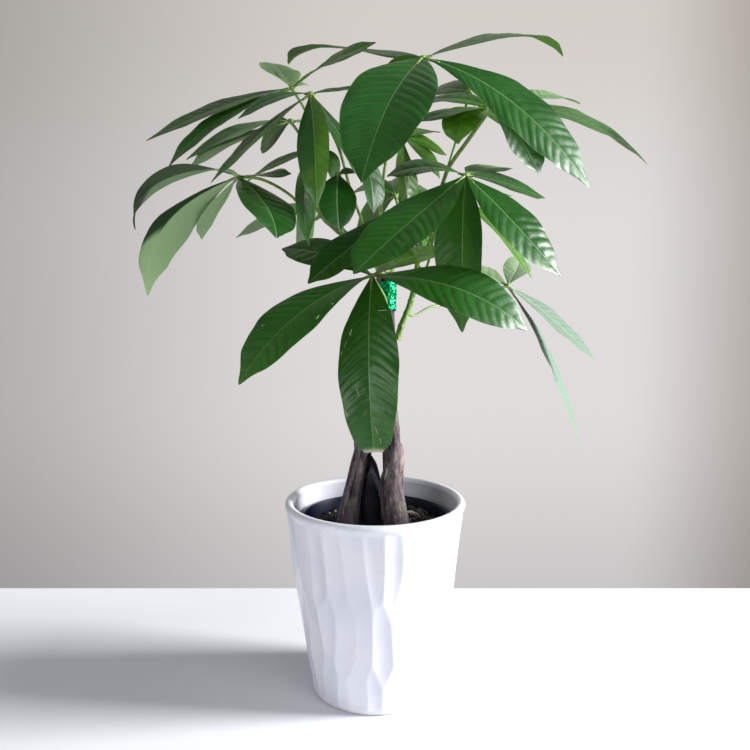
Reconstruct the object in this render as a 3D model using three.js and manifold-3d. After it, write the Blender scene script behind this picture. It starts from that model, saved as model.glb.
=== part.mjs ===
// A potted money tree. A white ceramic cover pot with hand-carved hollows holds a
// thin black nursery pot full of soil. Four woody stems are braided into one trunk,
// with a green foil tie round its top, and green shoots carry the compound leaves.
// Millimetres, +Z up. The origin is the centre of the pot's flat bottom, and the
// plant's front faces -Y.
import * as THREE from 'three';
import { mergeVertices } from 'three/addons/utils/BufferGeometryUtils.js';
import Module from 'manifold-3d';

// Cover pot
const POT_HEIGHT = 155;
const POT_FOOT_RADIUS = 50.6;
const POT_FLARE = 0.172;
const POT_BELLY = 0.00029;
const POT_WALL = 4.6;
const POT_FLOOR = 9;
const FOOT_ROUNDING = 4;
const LIP_RADIUS = 3.3;
const LIP_CENTRE_RADIUS = 67.6;
const LIP_STARTS = -55;
const LIP_ENDS = 205;
const LIP_STEP = 52;
const HOLLOWS = 28;
const HOLLOW_DEPTH = 1.3;
const HOLLOWS_MEET = 88;
const HOLLOWS_OVERLAP = 12;
const HOLLOWS_TOP = 143;
const HOLLOWS_BOTTOM = 3;
const HOLLOW_RUN_OUT = 7;
const OUTSIDE_ROWS = [HOLLOWS_BOTTOM, 12, 45, 80, 96, 135, HOLLOWS_TOP];
const INSIDE_ROWS = [140, 75, 12];

// Nursery pot
const GAP = 0.3;
const ROUND_SIDES = 28;
const LINER_RIM_RADIUS = 59.6;
const LINER_RIM_HEIGHT = 5;
const LINER_TOP = 141;
const LINER_TOP_RADIUS = 58;
const LINER_FOOT_RADIUS = 43;
const LINER_WALL = 1.2;

// Soil
const SOIL_LEVEL = 132;
const SOIL_RING_RADII = [52, 34, 17];
const SOIL_ROUGHNESS = 1.1;
const HOLE_GAP = 0.6;
const HOLE_KNOTS = 4;

// Braided trunk
const BRAID_START = 190;
const BRAID_END = 300;
const BRAID_AXIS_START = [3, 1];
const BRAID_AXIS_END = [8, 0];
const BRAID_TOP_OFFSET = 4.6;
const BRAID_KNOTS = 10;
const BRAID_CLOSING = 1.6;
const BRAID_TAPER = 1.3;
const STEM_TOP = 328;
const STEM_TOP_RADIUS = 3;
const STEM_SIDES = 8;
const STEM_STEPS = 24;
const SHOOT_SIDES = 6;
const SHOOT_STEPS = 10;

// Foil tie
const FOIL_BOTTOM = 303;
const FOIL_HEIGHT = 22;
const FOIL_INNER_RADIUS = 8;
const FOIL_THICKNESS = 0.8;
const FOIL_CRINKLE = 0.35;
const FOIL_SIDES = 16;
const FOIL_ROWS = 5;

// Leaves
const BLADE_THICKNESS = 0.8;
const BLADE_ROOT_HALF_WIDTH = 0.9;
const BLADE_FULLNESS = 0.9;
const LONG_BLADE = 60;
const LONG_BLADE_STEPS = 6;
const SHORT_BLADE_STEPS = 4;
const STALK_RADIUS = 1.3;
const STALK_FOOT_RADIUS = 2;
const STALK_FOOT_LENGTH = 4;
const STALK_SIDES = 5;
const STALK_STEPS = 8;
const HUB_RADIUS = 2.5;

const WHITE_GLAZE = { color: 0xe6e4ea, roughness: 0.25, metalness: 0 };
const BLACK_PLASTIC = { color: 0x15181f, roughness: 0.5, metalness: 0 };
const DARK_SOIL = { color: 0x221a15, roughness: 1, metalness: 0 };
const BROWN_BARK = { color: 0x6f5648, roughness: 0.9, metalness: 0 };
const GREEN_FOIL = { color: 0x0a9a4c, roughness: 0.2, metalness: 0.9 };
const GREEN_SHOOT = { color: 0x6f9448, roughness: 0.6, metalness: 0 };
const LEAF_GREEN = { color: 0x2f6b2c, roughness: 0.4, metalness: 0 };

const wasm = await Module();
wasm.setup();
const plant = new THREE.Group();

const radians = THREE.MathUtils.degToRad;
const mix = THREE.MathUtils.lerp;
const ramp = THREE.MathUtils.smoothstep;

function place(name, geometry, material) {
  const mesh = new THREE.Mesh(geometry, new THREE.MeshStandardMaterial(material));
  mesh.name = name;
  plant.add(mesh);
}

// A closed geometry as a solid that can be joined and cut.
function solidOf(geometry) {
  const bare = geometry.clone();
  bare.deleteAttribute('normal');
  bare.deleteAttribute('uv');
  const merged = mergeVertices(bare, 1e-4);
  return new wasm.Manifold(new wasm.Mesh({
    numProp: 3,
    vertProperties: merged.attributes.position.array,
    triVerts: new Uint32Array(merged.index.array),
  }));
}

function geometryOf(solid) {
  const made = solid.getMesh();
  const geometry = new THREE.BufferGeometry();
  geometry.setAttribute('position', new THREE.BufferAttribute(made.vertProperties, 3));
  geometry.setIndex(new THREE.BufferAttribute(made.triVerts, 1));
  return geometry;
}

// A closed profile of [radius, height] points turned round the upright axis.
function turned(profile, segments) {
  const points = profile.map(([radius, height]) => new THREE.Vector2(radius, height));
  return new THREE.LatheGeometry(points, segments).rotateX(Math.PI / 2);
}

function reshape(geometry, move) {
  const position = geometry.attributes.position;
  const point = new THREE.Vector3();
  for (let i = 0; i < position.count; i += 1) {
    point.fromBufferAttribute(position, i);
    move(point);
    position.setXYZ(i, point.x, point.y, point.z);
  }
  return geometry;
}

// A round limb through [x, y, z, radius] points, closed at both ends.
function limb(knots, sides, steps) {
  const curve = new THREE.CatmullRomCurve3(knots.map(([x, y, z]) => new THREE.Vector3(x, y, z)));
  const frames = curve.computeFrenetFrames(steps);
  const tube = new THREE.CylinderGeometry(1, 1, 1, sides, steps);
  return reshape(tube, (point) => {
    const step = Math.round((0.5 - point.y) * steps);
    const along = curve.getUtoTmapping(step / steps) * (knots.length - 1);
    const knot = Math.min(Math.floor(along), knots.length - 2);
    const radius = mix(knots[knot][3], knots[knot + 1][3], along - knot);
    const offset = frames.normals[step].clone().multiplyScalar(point.x * radius);
    offset.addScaledVector(frames.binormals[step], point.z * radius);
    point.copy(curve.getPointAt(step / steps)).add(offset);
  });
}

// Cover pot: a flared wall with a slight belly, under a round lip.
function wallRadius(z) {
  return POT_FOOT_RADIUS + POT_FLARE * z - POT_BELLY * z * z;
}

// How deep the carving is. The upper hollows hang from the lip, and the lower ones
// stand between them on the foot.
function carving(angle, z) {
  const turn = (angle / (2 * Math.PI)) * HOLLOWS;
  const aside = Math.abs(turn - Math.round(turn));
  const above = ramp(z, HOLLOWS_MEET - HOLLOWS_OVERLAP / 2, HOLLOWS_MEET + HOLLOWS_OVERLAP / 2);
  const upper = above * (1 - ramp(z, HOLLOWS_TOP - HOLLOW_RUN_OUT, HOLLOWS_TOP)) * (1 - (2 * aside) ** 2);
  const below = (1 - above) * ramp(z, HOLLOWS_BOTTOM, HOLLOWS_BOTTOM + HOLLOW_RUN_OUT);
  const lower = below * (1 - (1 - 2 * aside) ** 2);
  return HOLLOW_DEPTH * (upper + lower);
}

function makePot() {
  const lipHeight = POT_HEIGHT - LIP_RADIUS;
  const outside = [[0, 0], [POT_FOOT_RADIUS - FOOT_ROUNDING, 0]];
  for (const z of OUTSIDE_ROWS) {
    outside.push([wallRadius(z), z]);
  }
  const lip = [];
  for (let angle = LIP_STARTS; angle <= LIP_ENDS; angle += LIP_STEP) {
    const across = LIP_RADIUS * Math.cos(radians(angle));
    lip.push([LIP_CENTRE_RADIUS + across, lipHeight + LIP_RADIUS * Math.sin(radians(angle))]);
  }
  const inside = [];
  for (const z of INSIDE_ROWS) {
    inside.push([wallRadius(z) - POT_WALL, z]);
  }
  inside.push([wallRadius(POT_FLOOR) - POT_WALL - FOOT_ROUNDING, POT_FLOOR], [0, POT_FLOOR]);
  const pot = turned([...outside, ...lip, ...inside], HOLLOWS * 2);
  reshape(pot, (point) => {
    const radius = Math.hypot(point.x, point.y);
    const isCarved = Math.abs(radius - wallRadius(point.z)) < 0.1;
    if (isCarved) {
      const angle = Math.atan2(point.x, -point.y);
      const scale = (radius - carving(angle, point.z)) / radius;
      point.x *= scale;
      point.y *= scale;
    }
  });
  place('pot', pot, WHITE_GLAZE);
}

// Nursery pot: a thin cone with a rolled rim, standing on the cover pot's floor.
const LINER_BOTTOM = POT_FLOOR + GAP;

function linerRadius(z) {
  const up = (z - LINER_BOTTOM) / (LINER_TOP - LINER_BOTTOM);
  return mix(LINER_FOOT_RADIUS, LINER_TOP_RADIUS, up);
}

function makeNurseryPot() {
  const rimBottom = LINER_TOP - LINER_RIM_HEIGHT;
  const floor = LINER_BOTTOM + LINER_WALL;
  place('nursery_pot', turned([
    [0, LINER_BOTTOM],
    [LINER_FOOT_RADIUS, LINER_BOTTOM],
    [linerRadius(rimBottom), rimBottom],
    [LINER_RIM_RADIUS, rimBottom],
    [LINER_RIM_RADIUS, LINER_TOP],
    [linerRadius(LINER_TOP) - LINER_WALL, LINER_TOP],
    [linerRadius(floor) - LINER_WALL, floor],
    [0, floor],
  ], ROUND_SIDES), BLACK_PLASTIC);
}

// Stems: feet spread out in the soil as [x, y, z, radius], then braided upwards.
// turn gives where round the trunk a stem starts and ends, in degrees.
const STEMS = {
  stem_left: {
    foot: [[-24, -2, 100, 8.4], [-22, -2, 132, 9], [-19.5, -2, 150, 7.8], [-15.5, -3, 170, 6.6]],
    top: { offset: 15.5, radius: 5.6, turn: [198, 388] },
  },
  stem_middle: {
    foot: [[-3, 14, 100, 9], [-4, 13, 132, 9.5], [-5.5, 12, 150, 8.2], [-7, 12, 170, 6.6]],
    top: { offset: 14.2, radius: 5.6, turn: [129, 298] },
  },
  stem_right: {
    foot: [[19, -4, 100, 9.6], [17, -4, 132, 10.5], [14.5, -4, 150, 9.8], [12, -4, 170, 8]],
    top: { offset: 9.4, radius: 4.6, turn: [328, 478] },
  },
  stem_rear: {
    foot: [[16, 20, 100, 8], [15.5, 18.5, 132, 8.6], [15.5, 15.5, 150, 7.5], [16.5, 11.5, 170, 6.2]],
    top: { offset: 16, radius: 5.6, turn: [386, 568] },
  },
};

function stemKnots({ foot, top }) {
  const knots = [...foot];
  for (let i = 0; i <= BRAID_KNOTS; i += 1) {
    const up = i / BRAID_KNOTS;
    const angle = radians(mix(top.turn[0], top.turn[1], up));
    const offset = mix(BRAID_TOP_OFFSET, top.offset, (1 - up) ** BRAID_CLOSING);
    knots.push([
      mix(BRAID_AXIS_START[0], BRAID_AXIS_END[0], up) + offset * Math.cos(angle),
      mix(BRAID_AXIS_START[1], BRAID_AXIS_END[1], up) + offset * Math.sin(angle),
      mix(BRAID_START, BRAID_END, up),
      mix(STEM_TOP_RADIUS, top.radius, (1 - up) ** BRAID_TAPER),
    ]);
  }
  const [x, y] = knots[knots.length - 1];
  knots.push([x, y, (BRAID_END + STEM_TOP) / 2, STEM_TOP_RADIUS], [x, y, STEM_TOP, STEM_TOP_RADIUS]);
  return knots;
}

function makeStems() {
  for (const [name, stem] of Object.entries(STEMS)) {
    place(name, limb(stemKnots(stem), STEM_SIDES, STEM_STEPS), BROWN_BARK);
  }
}

// Soil: fills the nursery pot, uneven on top, with a plain hole for each stem.
function makeSoil() {
  const bottom = LINER_BOTTOM + LINER_WALL + GAP;
  const side = (z) => linerRadius(z) - LINER_WALL - GAP;
  const profile = [[0, bottom], [side(bottom), bottom], [side(SOIL_LEVEL), SOIL_LEVEL]];
  for (const radius of SOIL_RING_RADII) {
    profile.push([radius, SOIL_LEVEL]);
  }
  profile.push([0, SOIL_LEVEL]);
  const ground = reshape(turned(profile, ROUND_SIDES), (point) => {
    const isTop = point.z > SOIL_LEVEL - 1 && Math.hypot(point.x, point.y) < SOIL_RING_RADII[0] + 1;
    if (isTop) {
      point.z += SOIL_ROUGHNESS * Math.sin(point.x * 0.31) * Math.cos(point.y * 0.27 + 1);
    }
  });
  let soil = solidOf(ground);
  for (const stem of Object.values(STEMS)) {
    const hole = stemKnots(stem).map(([x, y, z, radius]) => [x, y, z - HOLE_GAP, radius + HOLE_GAP]);
    soil = soil.subtract(solidOf(limb(hole.slice(0, HOLE_KNOTS), STEM_SIDES, HOLE_KNOTS * 2)));
  }
  place('soil', geometryOf(soil), DARK_SOIL);
}

// Foil tie: a crinkled sleeve round the four stems.
function makeFoil() {
  const outer = FOIL_INNER_RADIUS + FOIL_THICKNESS;
  const profile = [];
  for (let i = 0; i <= FOIL_ROWS; i += 1) {
    profile.push([outer, FOIL_BOTTOM + (FOIL_HEIGHT * i) / FOIL_ROWS]);
  }
  for (let i = FOIL_ROWS; i >= 0; i -= 1) {
    profile.push([FOIL_INNER_RADIUS, FOIL_BOTTOM + (FOIL_HEIGHT * i) / FOIL_ROWS]);
  }
  profile.push(profile[0]);
  const foil = reshape(turned(profile, FOIL_SIDES), (point) => {
    const angle = Math.atan2(point.y, point.x);
    const radius = Math.hypot(point.x, point.y);
    const crinkle = FOIL_CRINKLE * (1 + Math.sin(angle * 5 + point.z * 1.9));
    point.x *= (radius + crinkle) / radius;
    point.y *= (radius + crinkle) / radius;
  });
  foil.translate(BRAID_AXIS_END[0], BRAID_AXIS_END[1], 0);
  place('foil_tie', foil, GREEN_FOIL);
}

// Shoots: green branches as [x, y, z, radius], the first two on top of a stem.
const SHOOTS = {
  shoot_left: [[4, -2.2, 328.3, 2.9], [4, -2.2, 333, 2.8], [-7, -6, 346, 2.7], [-25, -13, 361, 2.6],
    [-39, -18, 374, 2.4], [-44, -20, 385, 1.8]],
  shoot_right: [[12.1, 2.1, 328.3, 2.9], [12.2, 2.2, 334, 2.8], [17, 1, 348, 2.7], [29, -1, 361, 2.6],
    [38, 0, 373, 2.4], [43, 1, 385, 1.8]],
  shoot_side: [[17.2, 2.5, 280, 2.4], [20, 4, 290, 2.4], [26, 8, 304, 2.3], [31, 12, 322, 2.2],
    [33, 15, 340, 2], [34, 17, 352, 1.6]],
};

function makeShoots() {
  for (const [name, knots] of Object.entries(SHOOTS)) {
    place(name, limb(knots, SHOOT_SIDES, SHOOT_STEPS), GREEN_SHOOT);
  }
}

// Leaves. Each has its hub, where the leaflets meet, the shoot that it grows from,
// how far along it (0 to 1), and the places that its stalk bends through.
// A leaflet is [width, roll, fold, widest place, end, rib points], where roll and
// fold are degrees, the widest place and the end are shares of its length, and the
// rib points are evenly spaced along the leaflet and count from the hub.
const LEAVES = {
  leaf_a: {
    hub: [33, -35, 479], shoot: 'shoot_right', at: 0.28, bends: [[7, -14, 407], [20, -27, 448]],
    leaflets: [
      [58, 15, 10, 0.46, 1, [-25, -51, -42], [-41, -83, -92]],
      [42, -45, 3, 0.58, 1, [59, -23, -34], [111, -27, -90]],
      [38, -15, 4, 0.56, 1, [33, 15, 13], [76, 37, 25], [109, 55, 14]],
      [36, 15, 4, 0.56, 1, [-33, 43, 15], [-76, 81, 28], [-104, 109, 21]],
      [30, -60, 5, 0.5, 1, [-14, 26, -8], [-24, 46, -32]],
    ],
  },
  leaf_b: {
    hub: [-44, -45, 453], shoot: 'shoot_left', at: 0.45, bends: [[-18, -22, 392], [-26, -32, 420]],
    leaflets: [
      [24, 25, 5, 0.56, 1, [-24, -5, -4], [-49, -7, -18]],
      [28, 5, 5, 0.56, 1, [-30, -25, -29], [-63, -35, -63]],
      [32, 45, 28, 0.5, 1, [5, -35, -39], [7, -47, -80]],
      [28, 15, 5, 0.56, 1, [20, -21, -29], [35, -33, -63]],
      [24, -10, 5, 0.56, 1, [18, 15, 6], [38, 33, 12]],
    ],
  },
  leaf_c: {
    hub: [-61, 0, 466], shoot: 'shoot_left', at: 0.7, bends: [[-38, 3, 400], [-50, 2, 447]],
    leaflets: [
      [28, -30, 5, 0.56, 1, [29, -12, 16], [62, -20, 27]],
      [34, 5, 5, 0.56, 1, [-15, 40, 18], [-29, 78, 26]],
      [34, 25, 5, 0.56, 1, [-50, -8, -14], [-107, -8, -39]],
      [32, 20, 5, 0.56, 1, [-50, -22, -26], [-86, -28, -60]],
      [32, 35, 5, 0.56, 1, [1, 36, 18], [0, 72, 29]],
    ],
  },
  leaf_d: {
    hub: [-61, -16, 440], shoot: 'shoot_left', at: 0.97, bends: [[-46, -15, 408], [-53, -17, 428]],
    leaflets: [
      [30, 25, 5, 0.56, 1, [-35, -6, -7], [-76, -2, -28]],
      [30, 20, 5, 0.56, 1, [-41, -16, -17], [-71, -14, -35]],
      [26, 75, 5, 0.56, 0.92, [-15, 24, -5], [-30, 46, -13]],
      [24, -25, 5, 0.56, 1, [23, 4, -3], [44, 6, -14]],
    ],
  },
  leaf_e: {
    hub: [-95, -42, 398], shoot: 'shoot_left', at: 0.8, bends: [[-61, -24, 387], [-80, -35, 397]],
    leaflets: [
      [36, 25, 8, 0.56, 1, [-23, -16, 3], [-55, -20, -9], [-70, -10, -37]],
      [50, -15, 4, 0.62, 1, [-31, 6, -13], [-60, 14, -39], [-71, 16, -83]],
      [26, 25, 5, 0.56, 1, [-22, 24, -20], [-35, 38, -42]],
      [40, 10, 6, 0.52, 1, [23, -34, -21], [33, -58, -44]],
      [24, -15, 5, 0.56, 1, [20, -8, 1], [38, -10, 1]],
    ],
  },
  leaf_n: {
    hub: [-43, -34, 417], shoot: 'shoot_left', at: 0.9, bends: [[-41, -30, 396]],
    leaflets: [
      [28, 70, 5, 0.56, 1, [-6, -18, -36], [-2, -22, -67]],
      [26, -80, 5, 0.56, 1, [13, 8, -11], [8, 14, -33]],
      [22, 30, 5, 0.56, 1, [-29, 18, -7], [-54, 22, -22]],
    ],
  },
  leaf_p: {
    hub: [-25, -56, 398], shoot: 'shoot_left', at: 0.68, bends: [[-31, -44, 390]],
    leaflets: [
      [26, 35, 6, 0.45, 1, [0, -18, -20], [2, -26, -39]],
      [11, -25, 5, 0.56, 1, [8, 5, 3], [16, 8, 2]],
    ],
  },
  leaf_o: {
    hub: [-47, 66, 386], shoot: 'shoot_left', at: 0.3, bends: [[-16, 20, 356], [-31, 44, 371]],
    leaflets: [
      [32, 35, 5, 0.56, 1, [-38, 18, -8], [-74, 26, -26]],
      [34, 100, 5, 0.56, 1, [-13, 34, -15], [-21, 56, -46]],
      [34, -5, 5, 0.56, 1, [4, 40, 14], [5, 84, 11]],
    ],
  },
  leaf_g: {
    hub: [-2, -45, 330], shoot: 'stem_middle', at: 0.86, bends: [[8, -19, 311], [2, -33, 323]],
    leaflets: [
      [46, 20, 5, 0.58, 1, [-49, -35, -25], [-87, -51, -70]],
      [44, -25, 6, 0.5, 0.9, [-2, -37, -59], [3, -47, -135]],
      [42, -40, 4, 0.52, 1, [56, -31, -8], [104, -33, -36]],
      [36, 30, 4, 0.56, 1, [-34, 15, 15], [-67, 31, 19]],
      [32, -10, 5, 0.56, 1, [26, 23, 12], [53, 51, 22]],
    ],
  },
  leaf_q: {
    hub: [19, -36, 379], shoot: 'shoot_right', at: 0.4, bends: [[19, -18, 362]],
    leaflets: [
      [36, 20, 6, 0.56, 1, [-35, -26, -29], [-64, -38, -54]],
      [20, 40, 5, 0.56, 1, [-14, 10, -10], [-28, 14, -18]],
      [22, -45, 5, 0.56, 1, [12, 10, -12], [22, 20, -30]],
    ],
  },
  leaf_h: {
    hub: [64, -32, 400], shoot: 'shoot_right', at: 0.72, bends: [[50, -16, 376], [61, -28, 390]],
    leaflets: [
      [44, 15, 6, 0.5, 1, [-45, -56, -38], [-77, -90, -68]],
      [42, -25, 8, 0.48, 1, [-3, -12, -54], [-1, -4, -111]],
      [40, -30, 5, 0.54, 1, [30, -24, -33], [63, -28, -70]],
      [32, -30, 5, 0.56, 1, [30, 10, -4], [62, 24, -14]],
      [32, -10, 5, 0.56, 1, [20, 38, 9], [41, 78, 14]],
      [32, 25, 5, 0.56, 1, [-29, 2, 6], [-56, 8, 0]],
    ],
  },
  leaf_m: {
    hub: [-8, -46, 418], shoot: 'shoot_right', at: 0.16, bends: [[4, -10, 370], [-2, -26, 402]],
    leaflets: [
      [26, 25, 10, 0.52, 1, [5, -10, -24], [7, -14, -46]],
      [14, 45, 5, 0.56, 1, [-5, 8, -1], [-9, 13, -5]],
      [14, -25, 5, 0.56, 1, [6, 12, 5], [11, 20, 1]],
      [24, -95, 5, 0.56, 1, [2, 24, 9], [1, 48, 8]],
    ],
  },
  leaf_i: {
    hub: [21, 22, 434], shoot: 'shoot_right', at: 0.5, bends: [[19, 12, 389], [19, 18, 417]],
    leaflets: [
      [30, 30, 8, 0.56, 1, [2, -18, -34], [6, -14, -67]],
      [22, -30, 5, 0.56, 1, [17, -4, -13], [29, -2, -31]],
      [22, -40, 5, 0.56, 1, [19, 10, -3], [36, 18, -11]],
      [24, -15, 5, 0.56, 1, [15, 20, 8], [32, 40, 10]],
      [24, 45, 5, 0.56, 1, [-11, 22, 3], [-23, 38, -4]],
    ],
  },
  leaf_j: {
    hub: [84, -8, 450], shoot: 'shoot_right', at: 0.96, bends: [[54, 0, 407], [69, -4, 429]],
    leaflets: [
      [32, 20, 10, 0.5, 1, [-21, -18, -10], [-25, -20, -28]],
      [28, 25, 5, 0.56, 1, [-24, 14, 10], [-50, 28, 9]],
      [26, 15, 5, 0.56, 1, [-27, -16, -5], [-54, -22, -13]],
      [38, -40, 6, 0.56, 1, [22, 0, -21], [36, -4, -47]],
      [34, -20, 5, 0.56, 1, [41, 28, 15], [80, 58, 14]],
      [42, -30, 4, 0.56, 1, [66, 8, -5], [121, 14, -38]],
    ],
  },
  leaf_k: {
    hub: [110, 56, 320], shoot: 'shoot_side', at: 0.36, bends: [[44, 22, 304], [74, 44, 307]],
    leaflets: [
      [34, 35, 5, 0.56, 1, [12, 28, 13], [19, 54, 23]],
      [34, -20, 5, 0.56, 1, [37, -2, -27], [75, -6, -63]],
      [38, -20, 5, 0.56, 1, [37, 6, -61], [67, 4, -138]],
      [32, 10, 5, 0.56, 1, [-25, 22, 13], [-53, 40, 19]],
    ],
  },
  leaf_l: {
    hub: [63, 26, 390], shoot: 'shoot_side', at: 0.74, bends: [[48, 22, 366]],
    leaflets: [
      [30, -15, 5, 0.56, 1, [31, -8, -24], [59, -12, -64]],
      [28, -20, 5, 0.56, 1, [24, 18, 5], [50, 34, 3]],
      [32, -85, 5, 0.56, 1, [11, 8, -33], [14, 14, -70]],
    ],
  },
  leaf_r: {
    hub: [17, 74, 394], shoot: 'shoot_side', at: 0.84, bends: [[22, 46, 372]],
    leaflets: [
      [38, 80, 5, 0.56, 1, [-20, 44, -14], [-38, 68, -51]],
      [38, -90, 5, 0.56, 1, [20, 46, -12], [36, 72, -51]],
      [38, 20, 5, 0.56, 1, [-2, 50, 18], [-5, 96, 8]],
      [32, 25, 5, 0.56, 1, [-23, 18, 10], [-48, 34, -4]],
      [32, -25, 5, 0.56, 1, [22, 26, 9], [45, 48, -3]],
    ],
  },
  leaf_s: {
    hub: [78, 72, 478], shoot: 'shoot_side', at: 0.98, bends: [[51, 30, 395], [61, 44, 423]],
    leaflets: [
      [36, -35, 5, 0.56, 1, [31, 38, 8], [61, 68, -4]],
      [36, 110, 5, 0.56, 1, [6, 50, 17], [11, 92, 8]],
      [36, 30, 5, 0.56, 1, [-22, 32, 8], [-47, 58, 1]],
      [28, -20, 5, 0.56, 1, [13, -16, -16], [33, -12, -31]],
    ],
  },
};

// The curve through the hub and the rib points, at a share of its length.
function ribPoint(rib, share) {
  const knots = [[0, 0, 0], ...rib];
  const last = knots.length - 1;
  const point = new THREE.Vector3();
  knots.forEach((knot, i) => {
    let weight = 1;
    knots.forEach((_, j) => {
      if (j !== i) {
        weight *= (share * last - j) / (i - j);
      }
    });
    point.addScaledVector(new THREE.Vector3(...knot), weight);
  });
  return point;
}

// Where the blade lies at a share of the rib: its middle, and which ways its side
// and its upper face point. A leaflet that hangs shows its upper face outwards.
function bladeFrame(rib, roll, share) {
  const tangent = ribPoint(rib, share + 0.01).sub(ribPoint(rib, share - 0.01)).normalize();
  const tip = rib[rib.length - 1];
  const up = new THREE.Vector3(tip[0], tip[1], 0).normalize().add(new THREE.Vector3(0, 0, 1));
  up.addScaledVector(tangent, -up.dot(tangent)).normalize();
  up.applyAxisAngle(tangent, -radians(roll));
  const side = new THREE.Vector3().crossVectors(tangent, up);
  return { middle: ribPoint(rib, share), side, up };
}

// A leaflet: narrow at its root, widest at one place and pointed at its tip, folded
// a little along the rib. Both faces are split into triangles alike.
function leaflet([width, roll, fold, widest, end, ...rib]) {
  const length = new THREE.Vector3(...rib[rib.length - 1]).length();
  const steps = length > LONG_BLADE ? LONG_BLADE_STEPS : SHORT_BLADE_STEPS;
  const power = Math.log(0.5) / Math.log(widest);
  const corners = [];
  for (let i = 0; i <= steps; i += 1) {
    const share = (end * i) / steps;
    const { middle, side, up } = bladeFrame(rib, roll, share);
    const swell = Math.max(Math.sin(Math.PI * share ** power), 0) ** BLADE_FULLNESS;
    const half = Math.max((swell * width) / 2, BLADE_ROOT_HALF_WIDTH);
    for (const hand of [-1, 0, 1]) {
      const edge = middle.clone();
      edge.addScaledVector(side, hand * half * Math.cos(radians(fold)));
      edge.addScaledVector(up, Math.abs(hand) * half * Math.sin(radians(fold)));
      for (const face of [1, -1]) {
        corners.push(...edge.clone().addScaledVector(up, (face * BLADE_THICKNESS) / 2));
      }
    }
  }
  const corner = (i, column, face) => (i * 3 + column) * 2 + face;
  const faces = [];
  const quad = (a, b, c, d) => faces.push(a, b, c, b, d, c);
  for (let i = 0; i < steps; i += 1) {
    for (const column of [0, 1]) {
      quad(corner(i, column, 0), corner(i, column + 1, 0),
        corner(i + 1, column, 0), corner(i + 1, column + 1, 0));
      const [a, b] = [corner(i, column, 1), corner(i, column + 1, 1)];
      const [c, d] = [corner(i + 1, column, 1), corner(i + 1, column + 1, 1)];
      faces.push(a, c, b, b, c, d);
    }
    quad(corner(i, 0, 0), corner(i + 1, 0, 0), corner(i, 0, 1), corner(i + 1, 0, 1));
    quad(corner(i + 1, 2, 0), corner(i, 2, 0), corner(i + 1, 2, 1), corner(i, 2, 1));
  }
  for (const column of [0, 1]) {
    quad(corner(0, column + 1, 0), corner(0, column, 0),
      corner(0, column + 1, 1), corner(0, column, 1));
    quad(corner(steps, column, 0), corner(steps, column + 1, 0),
      corner(steps, column, 1), corner(steps, column + 1, 1));
  }
  const geometry = new THREE.BufferGeometry();
  geometry.setAttribute('position', new THREE.Float32BufferAttribute(corners, 3));
  geometry.setIndex(faces);
  return geometry;
}

// The stalk starts just off the side of its shoot, square to it, and runs to the hub.
function stalkKnots({ hub, shoot, at, bends }) {
  const knots = SHOOTS[shoot] ?? stemKnots(STEMS[shoot]);
  const curve = new THREE.CatmullRomCurve3(knots.map(([x, y, z]) => new THREE.Vector3(x, y, z)));
  const knot = Math.min(Math.floor(at * (knots.length - 1)), knots.length - 2);
  const radius = Math.max(knots[knot][3], knots[knot + 1][3]);
  const centre = curve.getPoint(at);
  const tangent = curve.getTangent(at);
  const outward = new THREE.Vector3(...bends[0]).sub(centre);
  outward.addScaledVector(tangent, -outward.dot(tangent)).normalize();
  const start = centre.clone().addScaledVector(outward, radius + GAP);
  const next = start.clone().addScaledVector(outward, STALK_FOOT_LENGTH);
  return [
    [...start, STALK_FOOT_RADIUS],
    [...next, STALK_RADIUS],
    ...bends.map((bend) => [...bend, STALK_RADIUS]),
    [...hub, STALK_RADIUS],
  ];
}

function makeLeaves() {
  for (const [name, leaf] of Object.entries(LEAVES)) {
    let solid = solidOf(limb(stalkKnots(leaf), STALK_SIDES, STALK_STEPS));
    const knob = new THREE.SphereGeometry(HUB_RADIUS, 6, 4).translate(...leaf.hub);
    solid = solid.add(solidOf(knob));
    for (const blade of leaf.leaflets) {
      solid = solid.add(solidOf(leaflet(blade).translate(...leaf.hub)));
    }
    place(name, geometryOf(solid), LEAF_GREEN);
  }
}

makePot();
makeNurseryPot();
makeSoil();
makeStems();
makeFoil();
makeShoots();
makeLeaves();

export default plant;
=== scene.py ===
import math
import random

import bmesh
import bpy
from mathutils import Matrix, Quaternion, Vector, noise


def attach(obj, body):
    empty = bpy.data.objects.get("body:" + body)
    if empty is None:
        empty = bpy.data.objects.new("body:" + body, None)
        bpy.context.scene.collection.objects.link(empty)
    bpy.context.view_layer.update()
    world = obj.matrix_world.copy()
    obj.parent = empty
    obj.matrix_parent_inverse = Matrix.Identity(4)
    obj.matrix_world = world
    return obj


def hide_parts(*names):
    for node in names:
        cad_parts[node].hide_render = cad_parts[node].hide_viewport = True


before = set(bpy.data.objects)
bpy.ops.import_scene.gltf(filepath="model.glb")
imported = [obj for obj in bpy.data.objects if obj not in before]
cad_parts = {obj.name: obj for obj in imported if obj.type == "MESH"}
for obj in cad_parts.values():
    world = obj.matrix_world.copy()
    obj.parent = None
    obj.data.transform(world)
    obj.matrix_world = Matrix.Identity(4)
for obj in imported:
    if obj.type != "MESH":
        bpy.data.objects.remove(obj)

bl_info = {
    "name": "Potted Money Tree",
    "version": (1, 0, 0),
    "blender": (4, 5, 0),
    "location": "3D View > Sidebar > Money Tree",
    "description": "Builds a braided money tree in a carved white cover pot",
    "category": "Add Mesh",
}

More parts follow.
